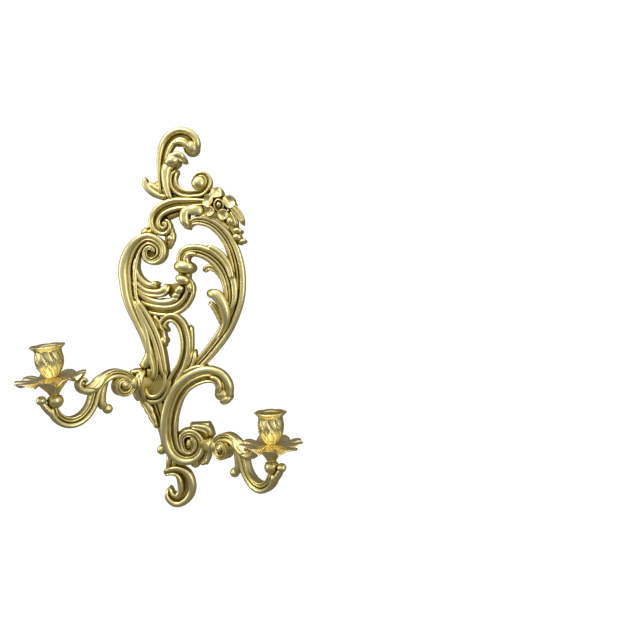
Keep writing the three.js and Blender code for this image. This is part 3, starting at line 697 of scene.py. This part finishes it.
def domed(radius, front, rise, step):
    """Profile of a cylinder whose top is a dome, rise high, in steps of so many degrees."""
    profile = [(0, 0), (radius, 0), (radius, front - rise)]
    for degrees in range(step, 90, step):
        angle = math.radians(degrees)
        profile.append((radius * math.cos(angle), front - rise * (1 - math.sin(angle))))
    return profile + [(0, front)]


def dome(x, z, radius, front):
    return turned(domed(radius, front, radius * DOME_DEPTH, 15), 28, out_of_wall(x, z))


def bulb(x, z, length, width, front, turn):
    """A smooth egg-shaped swelling of the casting."""
    place = (Matrix.Translation((x, 0, z)) @ Matrix.Rotation(math.radians(-turn), 4, "Y")
             @ Matrix.Rotation(QUARTER, 4, "X") @ Matrix.Diagonal((length, width, 1, 1)))
    return turned(domed(1, front, width, 12), 32, place)


def ground(x, z, radius, front):
    """A flat disc with a bevelled edge."""
    profile = [(0, 0), (radius, 0), (radius, front - 1), (radius - 1, front), (0, front)]
    return turned(profile, 40, out_of_wall(x, z))


def block(front, outline):
    """A solid boss with a bevelled face."""
    rim = np.array(outline, float)
    middle = rim.mean(axis=0)
    rows = []
    for depth, share in [(front, 1.0)] + BLOCK_BEVEL:
        ring = middle + (rim - middle) * share
        rows.append(np.column_stack([ring[:, 0], np.full(len(ring), depth - front), ring[:, 1]]))
    return closed_rows(rows)


ROSE_CENTRE = (46.0, -11.0)
# petals of the rose: (turn from +X in degrees, distance, half length, half width, front)
PETALS = [
    (102, 15, 6.8, 7, 19.5), (158, 14.2, 6.2, 7.8, 19), (212, 12.4, 5.8, 5.6, 20.5),
    (-67, 11.4, 6.4, 6.4, 20.5), (21, 12.2, 6.6, 8.2, 19.5)]
PETAL_FOOT = 8.0  # a petal's root, below this front, doesn't droop
BUD_FOOT = 15.0
BUD = [(0, 0), (7.4, 0), (7.4, 17), (7.1, 20.6), (6.3, 22.2), (5.4, 22.4), (4.8, 21.2), (4.4, 19.2),
       (3.6, 19.0), (3.1, 20.6), (2.4, 22.2), (1.1, 22.8), (0, 22.6)]
BUD_ROLL = 5.0  # the bud's rolled core is within this radius


def petal(turn, distance, length, width, front):
    """A cupped, notched petal whose outer edge droops."""
    profile = [(0, 0), (1, 0), (1, front - 4), (1.0, front - 1.8), (0.94, front - 0.6), (0.82, front),
               (0.66, front - 0.5), (0.45, front - 1.3), (0.22, front - 1.8), (0, front - 2.0)]

    def shape(r, h, a):
        square = squareness(a, 0.13)
        notch = 1 - 0.10 * math.exp(-(math.remainder(a, 2 * math.pi) / 0.3) ** 2)
        droop = (1.6 * math.cos(a) + 0.5 * math.cos(3 * a)) * r if h > PETAL_FOOT else 0
        return r * square * notch, h - droop

    angle = math.radians(turn)
    x = ROSE_CENTRE[0] + distance * math.cos(angle)
    z = ROSE_CENTRE[1] + distance * math.sin(angle)
    place = (Matrix.Translation((x, 0, z)) @ Matrix.Rotation(-angle, 4, "Y")
             @ Matrix.Rotation(QUARTER, 4, "X") @ Matrix.Diagonal((length, width, 1, 1)))
    return turned(profile, 40, place, shape)


def rose():
    """Five petals round a rolled bud."""
    def rolled(r, h, a):
        wave = 1 + 0.14 * math.sin(a + 0.9) if r < BUD_ROLL else 1
        return r * wave, h + 0.4 * math.sin(a) * (h > BUD_FOOT)

    place = out_of_wall(*ROSE_CENTRE) @ Matrix.Diagonal((0.88, 1.1, 1, 1))
    return [petal(*values) for values in PETALS] + [turned(BUD, 36, place, rolled)]


def squareness(angle, power):
    """How many times its radius a circle's point lies out, on the way to a square."""
    return 1 / (math.cos(angle) ** 4 + math.sin(angle) ** 4) ** power


# ---- places of the arms and of what stands on them ----

# heights on a stack, over the centre of the ball that carries it
CALYX_BOTTOM = 5.5
PAN_BOTTOM = 22.3
CUP_BOTTOM = 25.6
SEAT_HEIGHT = CUP_BOTTOM + 7.0


def arm_frames(side):
    """Two places in millimetres: the arm's, u along it, w across and v up, and the stack's, Z up."""
    arm = JOINTS[f"{side}_arm_turn"]
    cup = JOINTS[f"{side}_cup_turn"]
    out = Vector(arm["axis"]).normalized()
    up = Vector((0, 0, 1))
    arm_place = placed(out, up.cross(out), up, Vector(arm["pos_m"]) / MM)
    cup_up = Vector(cup["axis"]).normalized()
    cup_side = cup_up.cross(Vector((out.x, out.y, 0))).normalized()
    base = Vector(cup["pos_m"]) / MM - cup_up * SEAT_HEIGHT
    return arm_place, placed(cup_side.cross(cup_up), cup_side, cup_up, base)


def placed(first, second, third, origin):
    columns = [(*axis, 0) for axis in (first, second, third)] + [(*origin, 1)]
    return Matrix(columns).transposed()


# ---- arms ----

# bars of an arm as (u, v, width, thickness). The main one runs from the volute's eye to the cup
ARM_LINE = [
    (14, -3.2, 3.5, 17), (10.2, -1, 4, 17), (10.5, 3.6, 4.5, 16.5), (15, 6, 5, 16), (20, 3.4, 5.4, 15),
    (21.6, -3, 5.8, 14.5), (17.5, -9, 6.2, 14), (10, -9.6, 6.6, 13.5), (4.5, -4, 7, 13),
    (4.6, 4, 7.6, 13), (9, 9.6, 8.8, 12.5), (16, 12.6, 10, 12), (25, 13.2, 10.6, 12),
    (34, 9.5, 10.6, 12), (41, 3, 10.6, 12), (45.5, -7, 10.6, 12), (48.5, -17, 11, 12),
    (53.5, -25, 11.4, 12), (60.5, -31, 12, 12), (70, -33.6, 12, 12), (79, -30.6, 11.6, 12),
    (86, -23, 10.4, 12), (88, -14, 9.4, 11)]
CURL_LINE = [(33, 9, 8, 10), (36, 0, 9, 10), (37.8, -11, 9, 10), (37.5, -19, 9.5, 10), (33.5, -24, 9, 9.5)]
ROLL_LINE = [
    (38, 6, 7, 11), (45, -0.8, 8.5, 12), (53, -2.4, 8.5, 12.5), (60, 0.2, 7, 13), (62.2, 6, 5.6, 13),
    (59.5, 10.8, 4.6, 12.5), (55, 9.8, 4, 12), (54.8, 6.6, 3.5, 11)]
STEM_LINE = [(84, -27, 6, 9), (91, -19.5, 7.5, 9), (96.5, -12.5, 6.5, 8), (98.5, -8, 6, 7)]
ARM_BAR = flipped(relief([(0.52, 0.48, 0), (-0.30, 0.24, 0.22), (-0.80, 0.20, 0.12)], 0.55))
ARM_STEP = 1.8
ROLL_STEP = 1.4
# balls that end the arm's curls: (radius, u, v)
ARM_BALLS = [(5.4, 31.3, -25.0), (4.9, 99, -7.0), (4.2, 58, 6.4)]
# turned parts of an arm as (radius, height) profiles
VOLUTE_U = 13.5
VOLUTE_WEB = [(0, -4.6), (11, -4.6), (11.8, -3.6), (11.8, 3.6), (11, 4.6), (0, 4.6)]
VOLUTE_EYE = [(0, -9.4), (2.6, -9.0), (4.2, -7.4), (4.6, -5), (4.6, 5), (4.2, 7.4), (2.6, 9.0), (0, 9.4)]
COLLAR = [(0, 0.3), (7.6, 0.3), (8.2, 1.2), (8.2, 3.0), (7.0, 4.4), (6.0, 8), (0, 8)]
CUP_BALL_RADIUS = 8.0
CUP_BALL_TOP = [(5.6, 5.2), (0, 5.2)]

END_THICKNESS = 0.4  # share of a bar's thickness that is left at its very end
LEAST_THICKNESS = 0.25


def bar(points, section, place, step=ARM_STEP):
    """A bar of an arm along (u, v, width, thickness), alike on both faces of the arm's plane."""
    line, along = curve_samples(points, step)
    left = flat_left(line)
    ends = round_ends(along, max(line[0, 2] / 2, step), max(line[-1, 2] / 2, step))
    half = line[:, 2] / 2 * ends
    thick = line[:, 3] / 2 * (END_THICKNESS + (1 - END_THICKNESS) * ends)
    face = section[section[:, 1] == 1.0]
    rows = []
    for k in range(len(along)):
        across = face[:, 0] * half[k]
        aside = np.maximum(thick[k] - face[:, 2] * half[k], LEAST_THICKNESS)
        across = np.concatenate([across, across[::-1]])
        aside = np.concatenate([aside, -aside[::-1]])
        ring = np.column_stack([line[k, 0] + left[k, 0] * across, aside, line[k, 1] + left[k, 1] * across])
        rows.append(np.array([place @ Vector(p) for p in ring]))
    return closed_rows(rows)


def knob(radius, place):
    """A ball with a faint equator bead."""
    profile = [(0, -radius)]
    for degrees in range(-78, 79, 12):
        angle = math.radians(degrees)
        swell = 1 + 0.05 * math.exp(-((degrees / 14) ** 2))
        profile.append((radius * swell * math.cos(angle), radius * math.sin(angle)))
    profile.append((0, radius))
    return turned(profile, 28, place)


# ribs of the leaf over an arm's shoulder as (u, w per rib, v, radius)
LEAF_RIB = [(26, 0.5, 12.6, 2.2), (34, 1.1, 12.6, 2.7), (42, 1.8, 9.4, 2.8), (47, 2.1, 4.8, 2.5),
            (53, 2.1, 2.0, 2.1), (57, 1.9, 2.6, 1.6)]
LEAF_RIBS = range(-3, 4)
RIB_SIDES = 10
RIB_ENDS = (0.45, 0.85)  # share of its radius at a rib's last ring and at the one before


def leaf_rib(k):
    """Points (u, w, v, radius) of rib k. The outer ones are shorter and droop."""
    start = LEAF_RIB[0][0]
    droop = 0.26 * k * k
    reach = 1.0 - 0.03 * k * k
    return [(start + (u - start) * reach, spread * k, v - droop * (u - start) / 38, radius)
            for u, spread, v, radius in LEAF_RIB]


def smooth_rows(points, step):
    """Catmull-Rom through rows of three coordinates and values, sampled about every step of length."""
    pts = np.array(points, float)
    spans = np.linalg.norm(np.diff(pts[:, :3], axis=0), axis=1)
    pts = np.vstack([2 * pts[0] - pts[1], pts, 2 * pts[-1] - pts[-2]])
    rows = []
    for i, span in enumerate(spans):
        p0, p1, p2, p3 = pts[i:i + 4]
        count = max(1, int(round(span / step)))
        for t in np.arange(count) / count:
            rows.append(0.5 * (2 * p1 + (p2 - p0) * t + (2 * p0 - 5 * p1 + 4 * p2 - p3) * t ** 2
                               + (3 * p1 - p0 - 3 * p2 + p3) * t ** 3))
    rows.append(pts[-2])
    return np.array(rows)


def rib(points, place):
    """A round rod along (u, w, v, radius) points in the arm's own axes."""
    line = smooth_rows(points, ARM_STEP)
    heading = np.gradient(line[:, :3], axis=0)
    heading /= np.linalg.norm(heading, axis=1)[:, None]
    upward = np.cross(heading, (0.0, 1.0, 0.0))
    upward /= np.linalg.norm(upward, axis=1)[:, None]
    sideways = np.cross(upward, heading)
    rows = []
    for k, point in enumerate(line):
        from_end = min(k, len(line) - 1 - k)
        radius = point[3] * (RIB_ENDS[from_end] if from_end < len(RIB_ENDS) else 1.0)
        ring = [point[:3] + radius * (math.cos(t) * sideways[k] + math.sin(t) * upward[k])
                for t in np.linspace(0, 2 * math.pi, RIB_SIDES, endpoint=False)]
        rows.append(np.array([place @ Vector(p) for p in ring]))
    return closed_rows(rows)


def cup_ball(stack):
    """The ball under a calyx, flat on top where the calyx sits."""
    profile = [(0, -CUP_BALL_RADIUS)]
    for degrees in range(-75, 36, 10):
        angle = math.radians(degrees)
        profile.append((CUP_BALL_RADIUS * math.cos(angle), CUP_BALL_RADIUS * math.sin(angle)))
    return turned(profile + CUP_BALL_TOP, 32, stack)


def arm_piece(side, place, stack):
    """An arm: its scroll bar with a volute, curls, a folded leaf, a collar and balls."""
    pieces = [
        bar(ARM_LINE, ARM_BAR, place),
        bar(CURL_LINE, BEAD, place),
        bar(STEM_LINE, BEAD, place),
        bar(ROLL_LINE, BEAD, place, ROLL_STEP)]
    pieces += [rib(leaf_rib(k), place) for k in LEAF_RIBS]
    across = place @ Matrix.Translation((VOLUTE_U, 0, 0)) @ Matrix.Rotation(QUARTER, 4, "X")
    pieces.append(turned(VOLUTE_WEB, 32, across))
    pieces.append(turned(VOLUTE_EYE, 24, across))
    pieces.append(turned(COLLAR, 32, place @ Matrix.Rotation(QUARTER, 4, "Y")))
    for radius, u, v in ARM_BALLS:
        pieces.append(knob(radius, place @ Matrix.Translation((u, 0, v))))
    pieces.append(cup_ball(stack))
    return cleaned(combined(f"{side}_arm_casting", "UNION", pieces[0], pieces[1:]))


# ---- calyx, drip pan and candle cup ----

CALYX_PLAIN = (3.9, 16.35)  # within this radius or over this height a calyx has no leaves
CALYX_OUTER = [
    (4.0, 0), (4.8, 1.2), (5.6, 2.8), (6.6, 4.6), (8.2, 6.8), (10.2, 9.2), (12.2, 11.6), (13.6, 13.6),
    (14.6, 15.2), (15.0, 16.3)]


def calyx_piece(side, stack):
    """Inverted cone of overlapping leaves whose tips roll out under the pan."""
    plain_radius, plain_height = CALYX_PLAIN

    def leaves(r, h, a):
        if h > plain_height or r < plain_radius:
            return r, h + CALYX_BOTTOM
        depth = 0.15 + 0.85 * min(1.0, h / 10.0)
        leaf = abs(math.sin(3 * a))
        vein = math.exp(-((leaf - 1) / 0.02) ** 2)
        ribs = 0.15 * math.cos(18 * a)
        return r + depth * (1.3 * leaf ** 0.6 - 0.7 - 0.4 * vein + ribs), h + CALYX_BOTTOM

    profile = [(0, 0)] + CALYX_OUTER + [(12.5, 16.4), (0, 16.4)]
    return turned(profile, 144, stack, leaves, f"{side}_calyx_leaves")


PAN_LOBES = 9
PAN_TIP_TURN = {"left": 20, "right": -14}
PAN_RADIUS = 34.0  # radius of the plain profile, which the lobed edge replaces
PAN_HUB = 14.0
PAN_EDGE = 28.6  # radius of the edge between lobes
PAN_BOTTOM_FACE = [
    (0, 0), (10, 0), (14.2, 0.1), (16.5, 0.2), (19, 0.1), (21.5, 0.0), (24, 0.0), (26.5, 0.0),
    (29, 0.0), (31.4, 0.2), (33.4, 0.7)]
PAN_TOP_FACE = [
    (33.2, 1.9), (31.4, 2.3), (29, 2.3), (26.5, 2.2), (24, 2.1), (21.5, 2.0), (19, 2.0), (16.5, 2.3),
    (14.2, 2.9), (10, 3.0), (0, 3.0)]


def pan_edge(turn):
    """Radius of the lobed and toothed edge, turn being the angle from the longer pointed leaf."""
    lobe = abs(math.cos(PAN_LOBES * turn / 2)) ** 0.5
    teeth = 0.54 * abs(math.sin(PAN_LOBES * 2.5 * turn))
    leaf = 6.0 * max(0.0, math.cos(turn)) ** 22
    return PAN_EDGE + 5.4 * lobe + teeth * lobe + leaf


def pan_lift(turn, share):
    """How far a leaf rises at a share of the radius: its tip curls up and its vein is sunk."""
    lobe = abs(math.cos(PAN_LOBES * turn / 2))
    vein = 1.1 * math.exp(-((1 - lobe) / 0.01))
    gap = 1.3 * math.exp(-(lobe / 0.25) ** 2)
    ribs = 0.3 * math.cos(PAN_LOBES * 4 * turn) * max(0.0, share - 0.3)
    curl = (6.4 * lobe - 2.8) * max(0.0, share - 0.45) ** 1.6 * 2.2
    return curl - vein * share - gap * share ** 3 + ribs


def pan_piece(side, stack):
    """Drip pan of curling leaves, gently waved as a whole, with one longer pointed leaf."""
    tip_angle = math.radians(PAN_TIP_TURN[side])

    def surface(r, h, a):
        if r <= PAN_HUB:
            return r, h + PAN_BOTTOM
        share = r / PAN_RADIUS
        wave = 0.9 * math.sin(3 * a + 0.7) * share ** 2
        turn = a - tip_angle
        return share * pan_edge(turn), h + pan_lift(turn, share) + wave + PAN_BOTTOM

    profile = PAN_BOTTOM_FACE + [(PAN_RADIUS, 1.3)] + PAN_TOP_FACE
    return turned(profile, 270, stack, surface, f"{side}_pan_leaves")


CUP_FOOT = 6.0  # a cup's foot is plain within this radius
CUP_BORE = 11.0
CUP_RIM = 27.4  # height where the rim's petals start
CUP_OUTER = [
    (6.6, 0), (6.9, 0.8), (7.6, 2), (8.8, 4), (10.2, 6.2), (11.4, 8.6), (12.4, 11.2), (13.0, 14),
    (13.2, 17), (13.0, 20), (12.6, 22.4), (12.4, 24.4), (12.4, 26), (12.8, 27.4), (13.9, 29.2),
    (15.4, 30.6), (16.6, 31.6)]
CUP_LIP = [(16.9, 32.3), (16.4, 32.9), (15.0, 32.7), (13.2, 32.1), (11.6, 31.8)]
CUP_INNER = [(11.0, 31.2), (11.0, 28), (11.0, 24), (11.0, 19), (11.0, 13.2), (9.8, 10), (8.6, 7.0), (0, 7.0)]


def leaf_wrap(h, a):
    """Relief of upright leaves on a cup: deep gaps, sunk veins, and tips that bend out under the rim."""
    swirl = a + 0.030 * h
    leaf = abs(math.cos(5 * swirl))
    gap = 1.3 * math.exp(-(leaf / 0.30) ** 2)
    vein = 0.5 * math.exp(-((1 - leaf) / 0.03))
    ribs = 0.14 * math.cos(30 * swirl)
    rise = min(1.0, h / 5.0)
    tips = 1.1 * math.exp(-((h - 21) / 3.0) ** 2) * (leaf - 0.35)
    return rise * (0.6 + ribs - gap - vein) + tips


def cup_piece(side, stack):
    """Tulip cup wrapped in upright leaves, with a rim of turned-out petals and an open bore."""
    def wrap(r, h, a):
        in_bore = r <= CUP_BORE and h >= CUP_INNER[-1][1]
        if in_bore or r < CUP_FOOT:
            return r, h + CUP_BOTTOM
        if h >= CUP_RIM:
            share = (r - CUP_BORE) / 6.0
            petal_share = abs(math.cos(4 * a)) ** 0.8
            return r + share * (0.8 * petal_share - 0.5), h + CUP_BOTTOM + share * (0.5 * petal_share - 0.3)
        return r + leaf_wrap(h, a), h + CUP_BOTTOM

    profile = [(0, 0)] + CUP_OUTER + CUP_LIP + CUP_INNER
    return turned(profile, 180, stack, wrap, f"{side}_cup_leaves")


# ---- back plate ----

# along each arm's axis: the boss that its collar meets, the room behind for the bolt, and its hole
BOSS = [(0, -20), (5.8, -20), (6.2, -14), (7.6, -8), (8.0, -3), (7.6, -1.2), (6.4, -0.3), (0, -0.3)]
BOLT_ROOM = [(0, -90), (5.4, -90), (5.4, -10), (0, -10)]
BOLT_HOLE = [(0, -30), (2.9, -30), (2.9, 5), (0, 5)]
BEHIND_WALL = ((-200, 0, -450), (200, 80, 150))
NAIL_ROOM = ((0, -5.3, -11), (10, 1, 2))
HANGER_GAP = 0.3


def squarish(radius, height, angle):
    """Pulls a round boss out towards a square with rounded corners."""
    return radius * squareness(angle, 0.2), height


def hanger_pocket():
    """The pocket that the hanger plate is let into, open to the rear, with a little room."""
    low, high = (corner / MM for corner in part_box("hanger_plate"))
    gap = HANGER_GAP
    return box_solid(low - Vector((gap, gap, gap)), (high.x + gap, 1, high.z + gap))


def back_plate_piece():
    """The openwork plate: scrolls, leaves and bosses united, cut flat behind and drilled."""
    pieces = []
    for name, section, front, points, *lobes in PLATE:
        rows = [(*p, front) if len(p) == 3 else p for p in points]
        pieces.append(swept(name, rows, section, *lobes))
    for make, table in ((bulb, BULBS), (block, BLOCKS), (dome, DOMES), (ground, GROUNDS)):
        pieces += [make(*values) for values in table]
    pieces += rose()
    cutters = []
    for side in SIDES:
        along = arm_frames(side)[0] @ Matrix.Rotation(QUARTER, 4, "Y")
        pieces.append(turned(BOSS, 48, along, squarish))
        cutters.append(turned(BOLT_ROOM, 36, along))
        cutters.append(turned(BOLT_HOLE, 24, along))
    cutters.append(box_solid(*BEHIND_WALL))
    cutters.append(hanger_pocket())
    cutters.append(box_solid(*NAIL_ROOM))
    whole = combined("back_plate_whole", "UNION", pieces[0], pieces[1:])
    return cleaned(combined("back_plate_casting", "DIFFERENCE", whole, cutters))


# ---- studio ----

AIM = (0, 0, -0.14)
# soft lights: (name, place, (width, height), watts)
LIGHTS = [
    ("key", (-0.5, -0.9, 0.9), (0.7, 0.7), 8),
    ("fill", (1.1, -1.0, 0.1), (0.35, 1.0), 4),
    ("side", (-1.2, -0.5, 0.0), (0.3, 0.9), 3),
]
SEEN_WHITE = 1.1  # how bright the floor and the world look to the camera
FLOOR_GLOW = 0.20  # how bright the floor is as a light on the metal
WORLD_STRENGTH = 1.14
# the floor's extent and the top of its turned-up rear, in millimetres
FLOOR_HALF, FLOOR_REAR, FLOOR_LEVEL, BACKDROP_TOP = 6000, 1600, -1400, 4200
# greys of the world as light on the metal, from straight down, 0, to straight up, 1
WORLD_GREYS = [(0.30, 0.22), (0.45, 0.40), (0.54, 0.58), (0.68, 0.44), (0.82, 0.85)]
WORLD_DOWN = (0.20, 0.20, 0.19)
WORLD_UP = (1.3, 1.3, 1.26)


def area_light(name, place, size, power):
    data = bpy.data.lights.new(name, "AREA")
    data.shape = "RECTANGLE"
    data.size, data.size_y = size
    data.energy = power
    lamp = linked(name, data)
    lamp.location = place
    lamp.rotation_euler = (Vector(AIM) - Vector(place)).to_track_quat("-Z", "Y").to_euler()


def white_to_camera(tree, light, white, output):
    """Shows the white shader to the camera, and the light shader to everything else."""
    path = add(tree, "LightPath")
    mix = add(tree, "MixShader", Fac=path.outputs["Is Camera Ray"])
    tree.links.new(light.outputs[0], mix.inputs[1])
    tree.links.new(white.outputs[0], mix.inputs[2])
    feed(tree, tree.nodes[output], Surface=mix.outputs["Shader"])


def backdrop_material():
    """Plain and pale to the camera, dim to the metal, so that the brass keeps its dark tones."""
    material = bpy.data.materials.new("pale_floor")
    material.use_nodes = True
    tree = material.node_tree
    tree.nodes.remove(tree.nodes["Principled BSDF"])
    glow = add(tree, "Emission", Strength=FLOOR_GLOW)
    white_to_camera(tree, glow, add(tree, "Emission", Strength=SEEN_WHITE), "Material Output")
    return material


def graded_world():
    """Bright soft ceiling that falls to a dim floor, as light on the metal."""
    world = bpy.data.worlds.new("studio")
    world.use_nodes = True
    tree = world.node_tree
    split = add(tree, "SeparateXYZ", Vector=add(tree, "TexCoord").outputs["Generated"])
    height = add(tree, "MapRange", Value=split.outputs["Z"], From_Min=-1.0)
    greys = [(position, (grey, grey, 0.97 * grey)) for position, grey in WORLD_GREYS]
    ramp = colour_ramp(tree, height.outputs["Result"], [(0.0, WORLD_DOWN)] + greys + [(1.0, WORLD_UP)])
    light = feed(tree, tree.nodes["Background"], Strength=WORLD_STRENGTH, Color=ramp.outputs["Color"])
    white = add(tree, "Background", Strength=SEEN_WHITE, Color=(1, 1, 1, 1))
    white_to_camera(tree, light, white, "World Output")
    bpy.context.scene.world = world


def studio():
    """A pale floor that turns up into a backdrop, the world, the lights and plain colours."""
    edges = [(-FLOOR_HALF, FLOOR_LEVEL), (FLOOR_REAR, FLOOR_LEVEL), (FLOOR_REAR, BACKDROP_TOP)]
    corners = [(x, y, z) for y, z in edges for x in (-FLOOR_HALF, FLOOR_HALF)]
    floor = new_object("floor", corners, [(0, 1, 3, 2), (2, 3, 5, 4)])
    floor.data.materials.append(backdrop_material())
    graded_world()
    for values in LIGHTS:
        area_light(*values)
    bpy.context.scene.view_settings.view_transform = "Standard"


# ---- assembly ----

make_camera()
# the dark colour of each brass is both the patina and the painted shade of its hollows
BRASS = brass_material(
    "antique_brass_with_painted_shade", (0.82, 0.73, 0.37), (0.60, 0.495, 0.15), (0.22, 0.165, 0.038),
    tone=(0.05, 0.28, 0.70), rough=(0.29, 0.50))
PALE_BRASS = brass_material(
    "pale_brass", (0.90, 0.80, 0.53), (0.64, 0.53, 0.26), (0.24, 0.18, 0.065),
    tone=(0.08, 0.38, 0.78), rough=(0.27, 0.48))
STEEL = steel_material()

dress(back_plate_piece(), BRASS, "wall_plate", "back_plate")
for side in SIDES:
    arm_place, stack_place = arm_frames(side)
    unit = f"{side}_arm_unit"
    dress(arm_piece(side, arm_place, stack_place), BRASS, unit, f"{side}_arm")
    dress(calyx_piece(side, stack_place), BRASS, unit, f"{side}_calyx")
    dress(pan_piece(side, stack_place), PALE_BRASS, f"{side}_pan", f"{side}_drip_pan")
    dress(cup_piece(side, stack_place), BRASS, f"{side}_cup", f"{side}_candle_cup")

STEEL_NODES = ["hanger_plate", "hanger_screw_left", "hanger_screw_right"]
STEEL_NODES += [f"{side}_{part}" for side in SIDES for part in ("arm_bolt", "arm_washer", "stud")]
for node in STEEL_NODES:
    slots = frame["nodes"][node].data.materials
    slots.clear()
    slots.append(STEEL)

studio()
